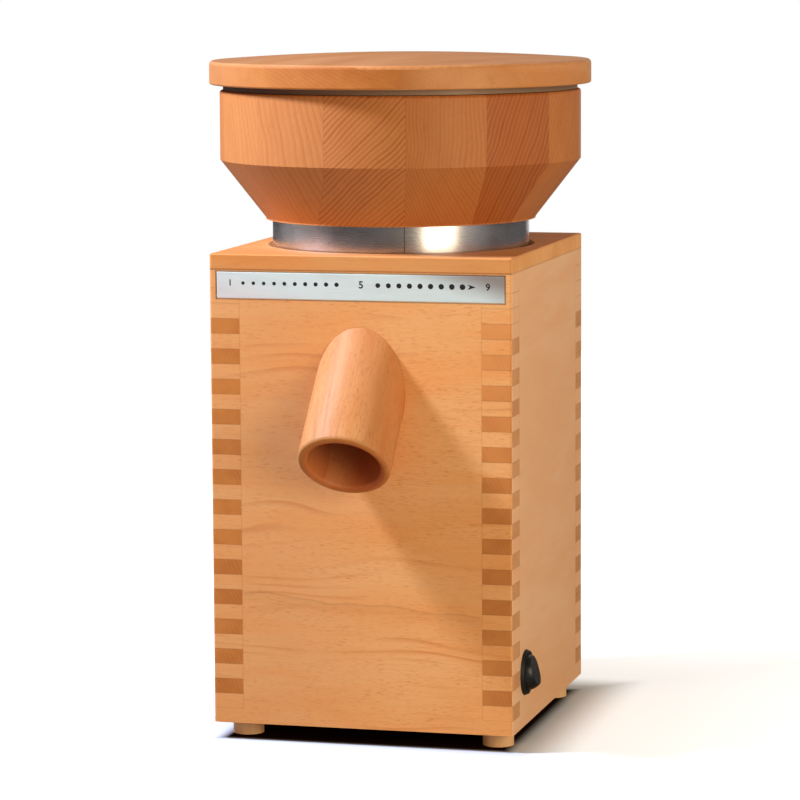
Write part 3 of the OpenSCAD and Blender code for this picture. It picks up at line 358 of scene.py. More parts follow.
def finger_lines(across, half, z, low, pitch):
    """Thin lines of glue round the fingers of the corners at across = plus and minus half. low is
    the height of the first finger, and pitch of each later one."""
    rung = (z - CASE_LOW.z - low) / pitch
    level = ((rung + 0.5).fract() - 0.5).abs() * pitch
    root = half - BOARD
    lying = level.step(0.5, 0.1) * across.abs().step(root - 0.1, root + 0.1)
    upright = across.abs().near(root, 0.45)
    within = rung.step(-0.05, 0.05) * z.step(SEAM_Z - low, SEAM_Z - low - 0.5)
    return lying.most(upright) * within


def beech(name, along, across, into, seed, tones, ends=END_TONES, marks=None, painted_patch=None,
          top=1.0, **grain):
    """Solid beech, with its grain along one direction and end grain where a face cuts across it.
    marks says from the place how strong the dark lines on it are. painted_patch is a pair: what
    says how strong another tone is, from the place and the share of end grain, and that tone, which
    paints light or shade there. top is the share of its colour that the upper face keeps, as
    painted shade."""
    s = Shader(name, specular_ior_level=0.22)
    x, y, z = s.place()
    nx, ny, nz = s.facing()

    def dot(axis, a, b, c):
        terms = [value * share for value, share in zip((a, b, c), axis) if abs(share) > 1e-6]
        return sum(terms[1:], terms[0])

    u, v, w = (dot(axis, x, y, z) for axis in (along, across, into))
    colour, height = long_grain(s, u, v, w, seed, tones, **grain)
    cut = dot(along, nx, ny, nz).abs().step(0.62, 0.8)
    colour = s.mix(cut, colour, end_grain(s, v, w, seed + 20, ends))
    # A tone that stands in for light or shade: painted light or painted shade
    if painted_patch:
        strength, tone = painted_patch
        colour = s.mix(strength(x, y, z, cut), colour, tone)
    if marks:
        colour = s.mix(marks(s, x, y, z), colour, GLUE_AND_SHADE_BROWN)
    # Painted shade on faces that look up
    if top < 1:
        painted_top_shade = s.mix(1.0, colour, (top, top, top, 1), "MULTIPLY")
        colour = s.mix(nz.step(0.7, 0.95), colour, painted_top_shade)
    s.set(base_color=colour, roughness=cut.scaled(0.5, 0.62), normal=s.relief(height, 0.05))
    return s.material


X, Y, Z = (1, 0, 0), (0, 1, 0), (0, 0, 1)


def seam(z):
    """The dark line along the joint under the top board."""
    return z.near(SEAM_Z, 0.9) * 0.6


def front_face(y):
    """1 on the outside of the front, falling to 0 just under it."""
    return y.step(-HALF_DEPTH + 0.5, -HALF_DEPTH + 0.1)


def front_marks(s, x, y, z):
    """Glue lines of the corners, the seam under the top board, painted shade in the gap round the
    plate and a line of the figure."""
    middle = (PLATE_LOW + PLATE_HIGH) / 2
    half = (PLATE_HIGH - PLATE_LOW) / 2
    outside = ((x - middle.x).abs() - half.x).most((z - middle.z).abs() - half.z)
    # Painted shade in the gap round the plate
    plate_gap_painted_shade = outside.step(0.75, 0.15) * front_face(y)
    lines = finger_lines(x, HALF_WIDTH, z, FRONT_LOW, FRONT_FINGER) * 0.2
    return lines.most(seam(z)).most(plate_gap_painted_shade * 0.45).most(figure_line(s, x, y, z))


def figure_line(s, x, y, z):
    """One dark line of the wood's figure that wanders across the lower part of the front."""
    waver = (s.noise(x / 34, 0.0, 0.0, 1.0, seed=61.0) - 0.5) * FIGURE_WAVER
    height = z - FIGURE_Z + x * FIGURE_FALL + waver
    below = height.step(-9, 0) * height.step(1.2, 0.2)
    between_corners = x.abs().step(HALF_WIDTH - BOARD, HALF_WIDTH - BOARD - 1)
    return (height.near(0, 1.1) * 0.2).most(below * 0.09) * (front_face(y) * between_corners)


def side_marks(s, x, y, z):
    """Glue lines of both corners and the seam under the top board."""
    front = finger_lines(y, HALF_DEPTH, z, FRONT_LOW, FRONT_FINGER) * y.step(0.1, -0.1)
    rear = finger_lines(y, HALF_DEPTH, z, REAR_LOW, REAR_FINGER) * y.step(-0.1, 0.1)
    return (front.most(rear) * 0.25).most(seam(z) * 0.4)


def beech_front():
    """The front board, with painted shade on its left."""
    # Painted shade: the front grows darker towards its left
    def painted_shade_left(x, y, z, cut):
        return (1 - cut) * x.step(45, -60) * 0.36

    return beech("beech_front", X, Z, Y, 3.0, CASE_TONES, ends=FRONT_END_TONES, marks=front_marks,
                 painted_patch=(painted_shade_left, PAINTED_SHADE_BEECH), figure=0.68, flecks=0.8)


def beech_top():
    """The top board, whose seam is fainter on the left and the right."""
    def top_marks(s, x, y, z):
        return seam(z) * x.abs().step(HALF_WIDTH, HALF_WIDTH - 0.2).scaled(0.4, 1.0)

    return beech("beech_top", X, Z, Y, 11.0, TOP_TONES, ends=TOP_END_TONES, marks=top_marks)


def beech_side(name, tones):
    """A side board, in the given tones: paler ones as painted light, or darker ones for the left
    board as painted shade. Painted light makes the end grain of the right one paler towards the
    top.
    """
    # Painted light on the right board's end grain, stronger towards the top
    def painted_light_right(x, y, z, cut):
        return cut * x.step(0, 1) * z.step(130, 300).scaled(0.15, 0.8)

    return beech(name, Y, Z, X, 7.0, tones, marks=side_marks, painted_patch=(painted_light_right, PAINTED_END_LIGHT),
                 figure=0.12, flecks=0.2)


def beech_turned():
    """The spout, with its grain along it and painted shade in its bore, stronger on its right."""
    axis = (0, -math.cos(SPOUT_SLOPE), -math.sin(SPOUT_SLOPE))
    cross = (0, -math.sin(SPOUT_SLOPE), math.cos(SPOUT_SLOPE))
    heights = [Vector(cross).dot(corner.co) / MM for corner in nodes["spout"].data.vertices]
    middle, radius = (min(heights) + max(heights)) / 2, (max(heights) - min(heights)) / 2

    # Painted shade in the bore, stronger towards its right
    def bore_painted_shade(x, y, z, cut):
        height = y * cross[1] + z * cross[2] - middle
        away = (x * x + height * height).math("SQRT")
        within = away.step(radius - BORE_DEPTH, radius - BORE_DEPTH - 1)
        return within * x.step(-8, 8).scaled(0.4, 0.65)

    return beech("beech_turned", axis, X, cross, 15.0, SPOUT_TONES, painted_patch=(bore_painted_shade, PAINTED_BORE_SHADE),
                 waver=3.0, figure=0.4, flecks=0.6)


LID_GRAIN = direction(-27, 0)           # level, and to the left of the front


def beech_lid():
    """The lid, with painted shade on its left and on its upper face."""
    cross = (-LID_GRAIN.y, LID_GRAIN.x, 0)

    # Painted shade on the lid's left
    def painted_shade_left(x, y, z, cut):
        return x.step(-40, -108) * 0.5

    return beech("beech_lid", tuple(LID_GRAIN), cross, Z, 21.0, LID_TONES, top=0.77,
                 painted_patch=(painted_shade_left, PAINTED_SHADE_LID))


def beech_foot():
    """The feet, with upright grain."""
    return beech("beech_foot", Z, X, Y, 25.0, FOOT_TONES)


STAVE_COUNT = 14
STAVE_ARC = 2 * math.pi / STAVE_COUNT
FIRST_JOINT = math.radians(16.3)        # round the bowl, to the right of the front
# Each stave of the hopper, from the first joint to the right and on round it: how far its ring
# lines lean with height and with depth, how far apart they are in millimetres, how clear they are,
# and how dark the wood is
STAVES = [
    (0.02, -0.85, 2.4, 0.35, 0.72), (0.42, -0.60, 3.1, 0.75, 1.00), (0.50, -0.40, 2.9, 0.55, 0.68),
    (-0.10, 0.50, 3.4, 0.40, 0.40), (0.80, 0.60, 2.6, 0.55, 0.60), (0.05, 0.80, 3.0, 0.35, 0.35),
    (-0.60, 0.40, 2.4, 0.50, 0.60), (0.15, -0.50, 3.6, 0.40, 0.45), (0.90, -0.30, 2.8, 0.55, 0.55),
    (-0.30, 0.70, 3.0, 0.45, 0.50), (0.35, 0.30, 2.5, 0.50, 0.65), (-0.20, 0.25, 4.2, 0.25, 0.55),
    (-0.22, 0.20, 4.4, 0.35, 0.58), (1.00, 0.25, 3.6, 0.85, 0.60)]
LEAN_SPAN, PITCH_SPAN = 2.0, 5.0        # the largest values that the stops of a ramp can carry
BOWL_R = limits("hopper_bowl")[1].x
LEAN_Z, LEAN_DEPTH = 340, 100           # the height and the depth that the leans are counted from
STAVE_SHIFT = 0.37                      # of the lines, from stave to stave, in pitches
# Joints that lean in the taper: their degrees round the bowl, and radians for each mm inwards
SKEWS = [(-23.7, 0.0082), (43.8, -0.0022)]


def beech_staves():
    """The hopper: upright staves glued to a ring and turned, each with ring lines of its own."""
    s = Shader("beech_staves", specular_ior_level=0.3)
    x, y, z = s.place()
    angle = x.math("ARCTAN2", -y)
    inwards = BOWL_R - (x * x + y * y).math("SQRT")
    skew = sum(angle.near(math.radians(place), 0.5) * lean for place, lean in SKEWS)
    turn = (angle + skew * inwards - FIRST_JOINT) / STAVE_ARC
    turn = (turn + STAVE_COUNT).math("MODULO", float(STAVE_COUNT))
    stave = turn.floor()
    middle = (stave + 0.5) * STAVE_ARC + FIRST_JOINT
    sine, cosine = middle.math("SINE"), middle.math("COSINE")
    side = x * cosine + y * sine
    depth = x * sine - y * cosine

    def chosen(columns):
        stops = [(k / STAVE_COUNT, (*columns(row), 1)) for k, row in enumerate(STAVES)]
        return s.ramp((stave + 0.5) / STAVE_COUNT, *stops, interpolation="CONSTANT").parts("Color")

    tilt, lean, pitch = chosen(lambda row: (
        row[0] / LEAN_SPAN / 2 + 0.5, row[1] / LEAN_SPAN / 2 + 0.5, row[2] / PITCH_SPAN))
    clear, dark, _ = chosen(lambda row: (row[3], row[4], 0))
    tilt, lean = (tilt - 0.5) * (2 * LEAN_SPAN), (lean - 0.5) * (2 * LEAN_SPAN)
    bend = s.noise(side / 34, depth / 60, z / 34, 1.0, seed=31.0) - 0.5
    across = side - tilt * (z - LEAN_Z) - lean * (depth - LEAN_DEPTH) + bend * 9
    rings = across / (pitch * PITCH_SPAN) + stave * STAVE_SHIFT
    phase = rings.fract()
    each = s.random(rings.floor(), 4.0)
    line = phase.step(0.2, 0.85) * phase.step(1.0, 0.88)
    cloud = s.noise(side / 16, depth / 16, z / 30, 2.0, seed=32.0)
    base = s.ramp(dark + (cloud - 0.5) * 0.3,
                  (0.0, rgb(232, 160, 98)), (0.5, rgb(212, 136, 74)), (1.0, rgb(188, 106, 50)))
    deep = s.mix(1.0, base, rgb(212, 182, 152), "MULTIPLY")
    strength = each.scaled(0.4, 1.0) * line * clear
    colour = s.mix(strength, base, deep)
    ray = s.noise(side / 0.6, depth / 3, z / 3.2, 1.0, seed=33.0)
    colour = s.mix(ray.step(0.5, 0.8) * 0.3, colour, deep)
    joint = (turn.fract() - 0.5).abs().step(0.49, 0.499)
    colour = s.mix(joint * 0.12, colour, GLUE_AND_SHADE_BROWN)
    s.set(base_color=colour, roughness=ray.scaled(0.46, 0.54),
          normal=s.relief(ray * 0.5 - strength, 0.03))
    return s.material


# ---------------------------------------------------------------- metal, stone and plastic

GLARE_X, GLARE_SLANT = 2, 3.5           # where the painted reflection of cool light crosses the scale, and how slanting
SHEET = 0.5                             # of the motor's core, in millimetres
WIRE = 0.9                              # of its windings
# Plated and cast metals: their colour, a duller one, their roughness and the size of their grain
METALS = {
    "zinc_steel": (rgb(190, 192, 196), rgb(160, 164, 170), 0.32, 0.6),
    "spring_steel": (rgb(150, 150, 152), rgb(120, 120, 124), 0.3, 0.4),
    "bearing_steel": (rgb(196, 197, 200), rgb(174, 176, 180), 0.2, 0.5),
    "cast_aluminium": (rgb(178, 180, 182), rgb(150, 152, 155), 0.5, 0.8)}
# Plastics: their two colours, their roughness, and for some the size of their grain and their coat
PLASTICS = {
    "pale_plastic": (rgb(214, 210, 198), rgb(222, 219, 208), 0.5),
    "black_plastic": (rgb(23, 18, 15), rgb(18, 14, 12), 0.55),
    "black_gloss": (rgb(13, 9, 7), rgb(10, 7, 6), 0.4, 0.5, 0.12),
    "wire_insulation": (rgb(92, 60, 40), rgb(84, 54, 36), 0.45, 0.3)}


def brushed_plate():
    """The scale: brushed lengthwise, with a painted reflection of cool light across it on a slant,
    and a painted reflection that is brighter on its left and greyer on its right.
    """
    s = Shader("brushed_plate", metallic=0.15)
    x, y, z = s.place()
    middle = (PLATE_LOW + PLATE_HIGH) / 2
    hair = s.noise(x / 24, y, z / 0.14, 2.0, seed=41.0)
    cloud = s.noise(x / 26, y, z / 7, 1.0, seed=42.0)
    slant = (x - GLARE_X) + (z - middle.z) * GLARE_SLANT
    # Painted reflection: brighter on the left and greyer on the right, under a pale cool band on a
    # slant
    warm = s.mix(x.step(-20, 20), rgb(240, 238, 234), rgb(160, 150, 144))
    colour = s.mix(slant.abs().step(38, 100), rgb(236, 252, 248), warm)
    colour = s.mix(hair.step(0.4, 0.8) * 0.16, colour, rgb(150, 148, 146))
    colour = s.mix(cloud.step(0.45, 0.75) * 0.14, colour, rgb(176, 170, 168))
    s.set(base_color=colour, roughness=hair.scaled(0.28, 0.42), normal=s.relief(hair, 0.008))
    return s.material


def brushed_collar():
    """The collar: polished round, with fine level scratches."""
    s = Shader("brushed_collar", metallic=1.0)
    x, y, z = s.place()
    turn = x.math("ARCTAN2", -y)
    hair = s.noise(turn * 4, z / 0.2, 0.0, 2.0, seed=43.0)
    cloud = s.noise(turn * 5, z / 14, 0.0, 1.0, seed=44.0)
    colour = s.mix(cloud.step(0.35, 0.7), rgb(226, 222, 224), rgb(204, 200, 202))
    colour = s.mix(hair.step(0.45, 0.8) * 0.25, colour, rgb(150, 140, 136))
    s.set(base_color=colour, roughness=hair.scaled(0.2, 0.32), normal=s.relief(hair, 0.002))
    return s.material


def plain_metal(name, colour, dull, roughness, grain):
    """A machined or plated metal with faint clouds and a fine grain."""
    s = Shader(name, metallic=1.0)
    x, y, z = s.place()
    cloud = s.noise(x / 12, y / 12, z / 12, 2.0, seed=51.0)
    tooth = s.noise(x / grain, y / grain, z / grain, 2.0, seed=52.0)
    tone = s.mix(cloud.step(0.35, 0.7), colour, dull)
    s.set(base_color=tone, roughness=tooth.scaled(roughness - 0.08, roughness + 0.1),
          normal=s.relief(tooth, 0.02))
    return s.material


def lid_band():
    """The grey-brown ring under the lid, with painted shade on its left."""
    s = Shader("lid_band", metallic=0.15)
    x, y, z = s.place()
    turn = x.math("ARCTAN2", -y)
    cloud = s.noise(turn * 6, z / 4, 0.0, 2.0, seed=45.0)
    # Painted shade of the lid on the left of the ring
    beyond_painted_shade = (turn + (cloud - 0.5) * 0.3).step(-0.8, 0.2)
    colour = s.mix(beyond_painted_shade, rgb(92, 58, 38), rgb(146, 118, 92))
    colour = s.mix(cloud.step(0.4, 0.8) * 0.3, colour, rgb(116, 90, 68))
    s.set(base_color=colour, roughness=cloud.scaled(0.45, 0.6), normal=s.relief(cloud, 0.01))
    return s.material


def core_steel():
    """Stacked sheets of motor steel: fine level lines on the sides."""
    s = Shader("core_steel", metallic=1.0)
    x, y, z = s.place()
    sheet = (z / SHEET).fract()
    edge = sheet.step(0.2, 0.0) + sheet.step(0.8, 1.0)
    cloud = s.noise(x / 10, y / 10, z / 10, 2.0, seed=53.0)
    tone = s.mix(cloud.step(0.35, 0.7), rgb(120, 118, 116), rgb(92, 88, 86))
    tone = s.mix(edge * 0.6, tone, rgb(48, 44, 42))
    s.set(base_color=tone, roughness=cloud.scaled(0.42, 0.6), normal=s.relief(-edge, 0.05))
    return s.material


def copper_enamel():
    """Enamelled copper wire, laid in bundles round the stator, with painted shade between the
    wires.
    """
    s = Shader("copper_enamel", metallic=0.85)
    x, y, z = s.place()
    turn = x.math("ARCTAN2", -y)
    tangle = s.noise(turn * 8, z / 9, 0.0, 1.0, seed=54.0)
    strand = ((z + tangle * 8) / WIRE).fract()
    wire_bump_and_shade = (strand - 0.5).abs().step(0.5, 0.0)
    # Painted shade: darker between the wires, paler on their crowns
    tone = s.mix(wire_bump_and_shade, rgb(96, 38, 16), rgb(192, 104, 52))
    s.set(base_color=tone, roughness=tangle.scaled(0.24, 0.4), normal=s.relief(wire_bump_and_shade, 0.25))
    return s.material


def millstone():
    """Grains of hard stone in a pale cement."""
    s = Shader("millstone", specular_ior_level=0.3)
    x, y, z = s.place()
    grit = s.node("ShaderNodeTexVoronoi", {"voronoi_dimensions": "3D", "feature": "F1"},
                  {"Vector": s.vector(x, y, z), "Scale": 0.9, "Randomness": 1.0}, output="Color")
    grain, shade, _ = grit.parts("Color")
    cement = s.noise(x / 0.5, y / 0.5, z / 0.5, 3.0, seed=55.0)
    tone = s.mix(cement, rgb(196, 188, 172), rgb(222, 216, 202))
    tone = s.mix(grain.step(0.55, 0.75), tone, rgb(150, 142, 130))
    tone = s.mix(shade.step(0.8, 0.9) * 0.8, tone, rgb(236, 230, 216))
    s.set(base_color=tone, roughness=cement.scaled(0.78, 0.92),
          normal=s.relief(grain * 0.7 + cement, 0.35))
    return s.material


def felt():
    """Pressed grey wool."""
    s = Shader("felt", specular_ior_level=0.1)
    x, y, z = s.place()
    fluff = s.noise(x / 0.4, y / 0.4, z / 0.8, 3.0, 0.7, seed=56.0)
    s.set(base_color=s.mix(fluff, rgb(84, 78, 72), rgb(132, 124, 114)),
          roughness=fluff.scaled(0.9, 1.0), normal=s.relief(fluff, 0.4))
    return s.material


def moulded(name, colour, other, roughness, grain=0.5, coat=0.0):
    """Moulded plastic or print with a fine eroded skin."""
    s = Shader(name, coat_weight=coat, coat_roughness=0.08)
    x, y, z = s.place()
    skin = s.noise(x / grain, y / grain, z / grain, 2.0, seed=57.0)
    cloud = s.noise(x / 9, y / 9, z / 9, 2.0, seed=58.0)
    s.set(base_color=s.mix(cloud, colour, other),
          roughness=skin.scaled(roughness - 0.06, roughness + 0.06), normal=s.relief(skin, 0.012))
    return s.material


# ---------------------------------------------------------------- prints and small parts

DOT_Z = 269.2                           # of the whole printed row
FIRST_DOT, DOT_PITCH, LEFT_DOTS = -69.6, 6.24, 10
SECOND_DOT, RIGHT_DOTS = 11.1, 9        # the first dot right of the middle
SMALL_DOT, LARGE_DOT = 1.0, 1.65        # radii
PRINT_PROUD, PRINT_SWELL = 0.03, 0.12   # how far prints stand out, and how bold the numbers are
ARROW_X, ARROW_LENGTH, ARROW_HALF, ARROW_NOTCH = 64.0, 4.8, 1.5, 1.3
NUMBERS = [("1", -77.4, 3.6), ("5", 1.1, 4.2), ("9", 75.9, 3.9)]     # with their x and their height
NUMERAL_SHARE = 0.72                    # a numeral's height as a share of the font's size
MARK_TURN, MARK_WIDTH = 16.2, 0.5       # degrees round the collar, millimetres
MARK_SUNK, MARK_SHORT = 2, 0.3          # below the face of the top board, and below the rim
GLAND_FLANGE, RIB_COUNT, RIB_WIDTH = 3, 20, 0.9
# How far a rib lies inside the cap's radius, how much shorter it is, and how far nearer the case
RIB_INSET, RIB_SHORT, RIB_BACK = 1.7, 4, 1.5
# A screw's head, and its cross: the length and the width of a bar, and how far it stands out
SCREW_HEAD_R, CROSS_ARM, CROSS_WIDTH, CROSS_PROUD = 3.6, 3.6, 0.9, 0.04
CROSS_TURN, CROSS_STEP = 0.4, 0.9       # radians: of the first cross, and from each to the next


def repeater(name, sizes, shape, material):
    """A tree of Geometry Nodes with a named input for each size. shape builds its geometry."""
    tree = bpy.data.node_groups.new(name, "GeometryNodeTree")
    for label, value in sizes.items():
        kind = "NodeSocketInt" if isinstance(value, int) else "NodeSocketFloat"
        tree.interface.new_socket(label, in_out="INPUT", socket_type=kind)
    tree.interface.new_socket("Geometry", in_out="OUTPUT", socket_type="NodeSocketGeometry")
    g = Graph(tree)
    source = tree.nodes.new("NodeGroupInput")
    geometry = shape(g, {label: Value(g, source.outputs[label]) for label in sizes})
    solid = g.node("GeometryNodeRealizeInstances", inputs={"Geometry": geometry})
    solid = g.node("GeometryNodeSetMaterial", inputs={"Geometry": solid, "Material": material})
    sink = tree.nodes.new("NodeGroupOutput")
    g.join(sink.inputs["Geometry"], solid)
    return tree


def evaluated_mesh(source):
    """The mesh that an object comes to. The object itself goes."""
    state = bpy.context.evaluated_depsgraph_get()
    mesh = bpy.data.meshes.new_from_object(source.evaluated_get(state))
    bpy.data.objects.remove(source)
    return mesh


def grow(name, body, sizes, shape, material):
    """Runs such a tree once and keeps its result as a plain mesh that rides on a body."""
    tree = repeater(name, sizes, shape, material)
    seed = add(name + "_seed", bpy.data.meshes.new(name + "_seed"))
    modifier = seed.modifiers.new("repeat", "NODES")
    modifier.node_group = tree
    for item in tree.interface.items_tree:
        if item.in_out == "INPUT":
            modifier[item.identifier] = sizes[item.name]
    return keep(name, body, evaluated_mesh(seed))


def keep(name, body, mesh):
    """A finished piece, with its place in its mesh."""
    piece = add(name, mesh)
    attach(piece, body)
    return piece


def prism(outline, matrix, depth):
    """A flat outline, given in order against the clock, made solid and placed by a matrix."""
    count = len(outline)
    points = [matrix @ Vector((x, y, z)) for z in (0, depth) for x, y in outline]
    around = [(k, (k + 1) % count, count + (k + 1) % count, count + k) for k in range(count)]
    mesh = bpy.data.meshes.new("prism")
    ends = [tuple(range(count))[::-1], tuple(range(count, 2 * count))]
    mesh.from_pydata(points, [], ends + around)
    return mesh


def on_plate(x, z):
    """Places a print on the scale: its x runs right, its y up, and it stands out to the front."""
    return (Matrix.Translation(Vector((x, PLATE_LOW.y, z)) * MM)
            @ Matrix.Rotation(math.pi / 2, 4, "X"))


def scale_dots(ink):
    """Dots that grow from fine to coarse, in a run on each side of the middle."""
    sizes = {"Left dots": LEFT_DOTS, "Right dots": RIGHT_DOTS, "First": FIRST_DOT * MM,
             "Second": SECOND_DOT * MM, "Pitch": DOT_PITCH * MM, "Small": SMALL_DOT * MM,
             "Large": LARGE_DOT * MM, "Proud": PRINT_PROUD * MM, "Face": PLATE_LOW.y * MM,
             "Height": DOT_Z * MM}

    def shape(g, size):
        def run(count, start):
            return g.node("GeometryNodeMeshLine", inputs={
                "Count": count, "Start Location": g.vector(start, size["Face"], size["Height"]),
                "Offset": g.vector(size["Pitch"], 0.0, 0.0)})

        runs = g.node("GeometryNodeJoinGeometry", inputs={"Geometry": [
            run(size["Left dots"], size["First"]), run(size["Right dots"], size["Second"])]})
        across, _, _ = g.node("GeometryNodeInputPosition").parts()
        last = size["Second"] + size["Pitch"] * (size["Right dots"] - 1)
        share = (across - size["First"]) / (last - size["First"])
        radius = size["Small"] + (size["Large"] - size["Small"]) * share
        disc = g.node("GeometryNodeMeshCylinder", {"fill_type": "NGON"},
                      {"Vertices": 24, "Radius": 1.0, "Depth": size["Proud"] * 2})
        return g.node("GeometryNodeInstanceOnPoints", inputs={
            "Points": runs, "Instance": disc, "Rotation": (math.pi / 2, 0, 0),
            "Scale": g.vector(radius, radius, 1.0)})

    grow("scale_dots", "root", sizes, shape, ink)


def scale_arrow(ink):
    """The arrowhead after the last dot."""
    outline = [(0, ARROW_HALF), (ARROW_NOTCH, 0), (0, -ARROW_HALF), (ARROW_LENGTH, 0)]
    mesh = prism([(x * MM, y * MM) for x, y in outline], on_plate(ARROW_X, DOT_Z), PRINT_PROUD * MM)
    mesh.materials.append(ink)
    keep("scale_arrow", "root", mesh)


def scale_numbers(ink):
    """Plain numbers at the ends and in the middle of the scale."""
    made = []
    for text, x, height in NUMBERS:
        curve = bpy.data.curves.new("number", "FONT")
        curve.body, curve.size = text, height * MM / NUMERAL_SHARE
        curve.align_x, curve.align_y = "CENTER", "CENTER"
        curve.extrude = PRINT_PROUD * MM
        curve.offset = PRINT_SWELL * MM
        mesh = evaluated_mesh(add("number", curve))
        mesh.transform(on_plate(x, DOT_Z))
        made.append(mesh)
    build = bmesh.new()
    for mesh in made:
        build.from_mesh(mesh)
    bmesh.ops.remove_doubles(build, verts=build.verts, dist=1e-7)
    whole = bpy.data.meshes.new("scale_numbers")
    build.to_mesh(whole)
    build.free()
    whole.materials.append(ink)
    keep("scale_numbers", "root", whole)


def collar_mark():
    """The fine line on the collar that is set against the scale."""
    half = MARK_WIDTH / 2 / COLLAR_HIGH.x
    turns = [math.radians(MARK_TURN) + half * step for step in (-1, 0, 1)]
    rows = (CASE_HIGH.z - MARK_SUNK, COLLAR_HIGH.z - MARK_SHORT)
    radii = (COLLAR_HIGH.x + PRINT_PROUD, COLLAR_HIGH.x - PRINT_PROUD)
    points = [Vector((r * math.sin(a), -r * math.cos(a), z)) * MM
              for r in radii for z in rows for a in turns]
    faces = []
    for k in (0, 1):
        faces += [(k, k + 1, k + 4, k + 3), (k + 7, k + 6, k + 9, k + 10),
                  (k + 1, k, k + 6, k + 7), (k + 3, k + 4, k + 10, k + 9)]
    faces += [(0, 3, 9, 6), (5, 2, 8, 11)]
    mesh = bpy.data.meshes.new("collar_mark")
    mesh.from_pydata(points, [], faces)
    mesh.materials.append(moulded("mark_brown", rgb(88, 70, 62), rgb(76, 60, 54), 0.5, grain=0.2))
    keep("collar_mark", "hopper", mesh)


def gland_ribs(finish):
    """Grip ribs round the cap of the cord gland."""
    low, high = limits("cord_gland")
    middle = (low + high) / 2
    cap = high.y - HALF_DEPTH - GLAND_FLANGE
    centre = Vector((middle.x, HALF_DEPTH + GLAND_FLANGE + cap / 2 - RIB_BACK, middle.z))
    sizes = {"Ribs": RIB_COUNT, "Ring": (high.x - low.x) / 2 * MM - RIB_INSET * MM,
             "Length": (cap - RIB_SHORT) * MM, "Rib": RIB_WIDTH * MM}

    def shape(g, size):
        circle = g.node("GeometryNodeMeshCircle",
                        inputs={"Vertices": size["Ribs"], "Radius": size["Ring"]})
        rib = g.node("GeometryNodeMeshCylinder", {"fill_type": "NGON"},
                     {"Vertices": 8, "Radius": size["Rib"] * 0.5, "Depth": size["Length"]})
        made = g.node("GeometryNodeInstanceOnPoints", inputs={"Points": circle, "Instance": rib})
        return g.node("GeometryNodeTransform", inputs={
            "Geometry": made, "Rotation": (math.pi / 2, 0, 0), "Translation": centre * MM})

    grow("gland_ribs", "root", sizes, shape, finish)


def screw_recesses():
    """A thin dark cross on the head of each screw under the bottom plate: painted shadow for its
    recess.
    """
    low, high = limits("base_screws")
    spots = [(x, y) for x in (low.x + SCREW_HEAD_R, high.x - SCREW_HEAD_R)
             for y in (low.y + SCREW_HEAD_R, high.y - SCREW_HEAD_R)]
    sizes = {"Arm": CROSS_ARM * MM, "Width": CROSS_WIDTH * MM, "Proud": CROSS_PROUD * MM}

    def shape(g, size):
        # One bar is a little thicker, so that their faces don't lie in one plane
        bars = [g.node("GeometryNodeMeshCube", inputs={"Size": g.vector(*box)})
                for box in ((size["Arm"], size["Width"], size["Proud"] * 2),
                            (size["Width"], size["Arm"], size["Proud"] * 2.4))]
        cross = g.node("GeometryNodeJoinGeometry", inputs={"Geometry": bars})
        crosses = [g.node("GeometryNodeTransform", inputs={
            "Geometry": cross, "Rotation": (0, 0, CROSS_TURN + CROSS_STEP * k),
            "Translation": Vector((x, y, low.z)) * MM}) for k, (x, y) in enumerate(spots)]
        return g.node("GeometryNodeJoinGeometry", inputs={"Geometry": crosses})

    shadow = plain_metal("recess_shadow", rgb(46, 46, 48), rgb(34, 34, 36), 0.5, 0.4)
    grow("screw_recesses", "root", sizes, shape, shadow)


def pressed_springs(finish):
    """The springs under the carrier of the upper stone, as a copy that stands in for the hidden
    imported ones.
    """
    mesh = nodes["stone_springs"].data.copy()
    mesh.materials.clear()
    mesh.materials.append(finish)
    piece = keep("pressed_springs", "root", mesh)
    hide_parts("stone_springs")
    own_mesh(piece)


# ---------------------------------------------------------------- studio and floor

SOFT = 0.31                             # the light from all round
RIGHT_WALL, RIGHT = (115, 60), 1.1      # its degrees round and half its width, and its light
WARM, COOL = (1.0, 0.8, 0.61), (0.93, 1.0, 0.93)
# What polished metal sees: degrees round, half the width and the brightness of each pale wall
PALE_WALLS = [(-88, 62, 0.42), (82, 32, 0.3)]
WHITE_BEHIND, DARKEST = (168, 178), 0.1
FLOOR_R, FLOOR_STEPS = 2.0, 96
# How the floor's glow, which the camera sees, grows away from the case, so that the floor is darker
# near the case as painted shade: from and to, in millimetres, and by how much
LIFTS = [(0, 40, 0.57), (0, 260, 0.29), (200, 700, 0.2)]


def set_world():
    """Soft warm light from all round and a cooler wall on the right. The camera and clear things
    see white. Polished metal sees a studio that is white behind the object and dark in front."""
    world = bpy.data.worlds.new("studio")
    bpy.context.scene.world = world
    world.use_nodes = True
    g = Graph(world.node_tree)
    x, y, z = g.node("ShaderNodeTexCoord", output="Generated").parts()
    turn = x.math("ARCTAN2", -y) * (180 / math.pi)
    wall = turn.near(*RIGHT_WALL) * z.step(0.8, 0.0) * RIGHT
    walls = sum(turn.near(place, half) * bright for place, half, bright in PALE_WALLS)
    polished = turn.abs().step(*WHITE_BEHIND).most(walls).most(DARKEST)
    seen, clear, shine = (g.node("ShaderNodeLightPath", output=name)
                          for name in ("Is Camera Ray", "Is Transmission Ray", "Is Glossy Ray"))
    white = seen.most(clear)
    level = [(SOFT * warm + wall * cool) * (1 - shine) + polished * shine
             for warm, cool in zip(WARM, COOL)]
    background = world.node_tree.nodes["Background"]
    g.join(background.inputs["Color"], g.vector(*(white + part * (1 - white) for part in level)))
    g.join(background.inputs["Strength"], 1.0)


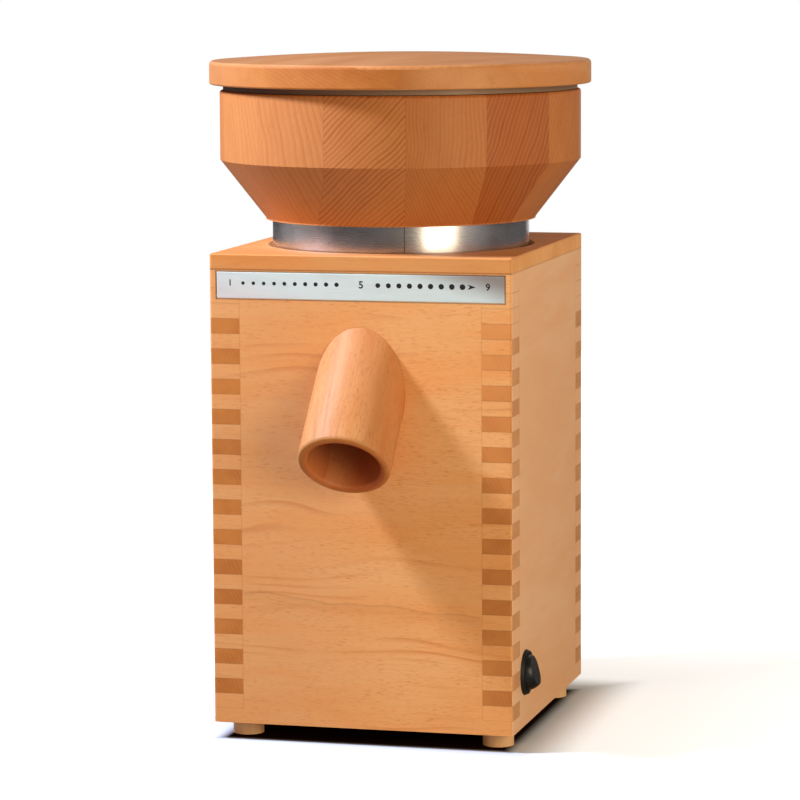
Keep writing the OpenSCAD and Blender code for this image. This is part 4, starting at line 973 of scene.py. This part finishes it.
def set_floor():
    """A white floor that keeps the shadow beside the case. Under the case the camera sees dark
    brown, a painted shadow, and a glow that is weaker near the case leaves painted shade round it.
    """
    s = Shader("floor", roughness=0.7, specular_ior_level=0.0)
    x, y, _ = s.place()
    path = s.node("ShaderNodeLightPath", output="Is Camera Ray")
    outside = (x.abs() - HALF_WIDTH).most(y.abs() - HALF_DEPTH)
    # Painted shadow: dark brown under the case, for the camera
    seen = s.mix(outside.step(-8, 2), rgb(34, 18, 12), (0.8, 0.85, 0.92, 1))
    lift = sum(outside.step(near, far) * share for near, far, share in LIFTS)
    s.set(base_color=s.mix(path, rgb(150, 148, 145), seen), emission_strength=1.0,
          emission_color=s.mix(lift * path, (0.0, 0.0, 0.0, 1), (1, 1, 1, 1)))
    mesh = bpy.data.meshes.new("floor")
    turns = [2 * math.pi * k / FLOOR_STEPS for k in range(FLOOR_STEPS)]
    rim = [(FLOOR_R * math.cos(turn), FLOOR_R * math.sin(turn), 0) for turn in turns]
    mesh.from_pydata(rim, [], [tuple(range(FLOOR_STEPS))])
    mesh.materials.append(s.material)
    floor = add("floor", mesh)


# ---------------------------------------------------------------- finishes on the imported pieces

def dress():
    """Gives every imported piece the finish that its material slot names. Adds the small pieces."""
    finishes = {
        "beech_front": beech_front(), "beech_side": beech_side("beech_side", SIDE_TONES_PAINTED_LIGHT),
        "beech_turned": beech_turned(), "beech_staves": beech_staves(), "beech_lid": beech_lid(),
        "brushed_steel": brushed_plate(), "lid_band_steel": lid_band(), "core_steel": core_steel(),
        "copper_enamel": copper_enamel(), "millstone": millstone(), "felt": felt(),
        **{name: plain_metal(name, *look) for name, look in METALS.items()},
        **{name: moulded(name, *look) for name, look in PLASTICS.items()}}
    own = {"left_panel": beech_side("beech_left_painted_shade", LEFT_TONES_PAINTED_SHADE), "top_board": beech_top(),
           "feet": beech_foot(), "steel_collar": brushed_collar()}
    for name, node in nodes.items():
        for slot in node.material_slots:
            slot.material = own.get(name) or finishes[slot.material.name]
    ink = moulded("black_print", rgb(24, 20, 22), rgb(34, 30, 30), 0.55, grain=0.2)
    scale_dots(ink)
    scale_arrow(ink)
    scale_numbers(ink)
    collar_mark()
    gland_ribs(finishes["black_plastic"])
    screw_recesses()
    pressed_springs(finishes["spring_steel"])


set_camera()
set_world()
set_softbox("key", azimuth=-64.5, elevation=44, distance=1.0, width=0.14, height=0.14,
            share=1.75, colour=(0.68, 0.76, 1.0))
set_softbox("fill", azimuth=48.5, elevation=9, distance=1.7, width=0.82, height=0.95,
            share=0.46, colour=(1.0, 0.86, 0.62))
set_floor()
bpy.context.scene.view_settings.view_transform = "Standard"
dress()
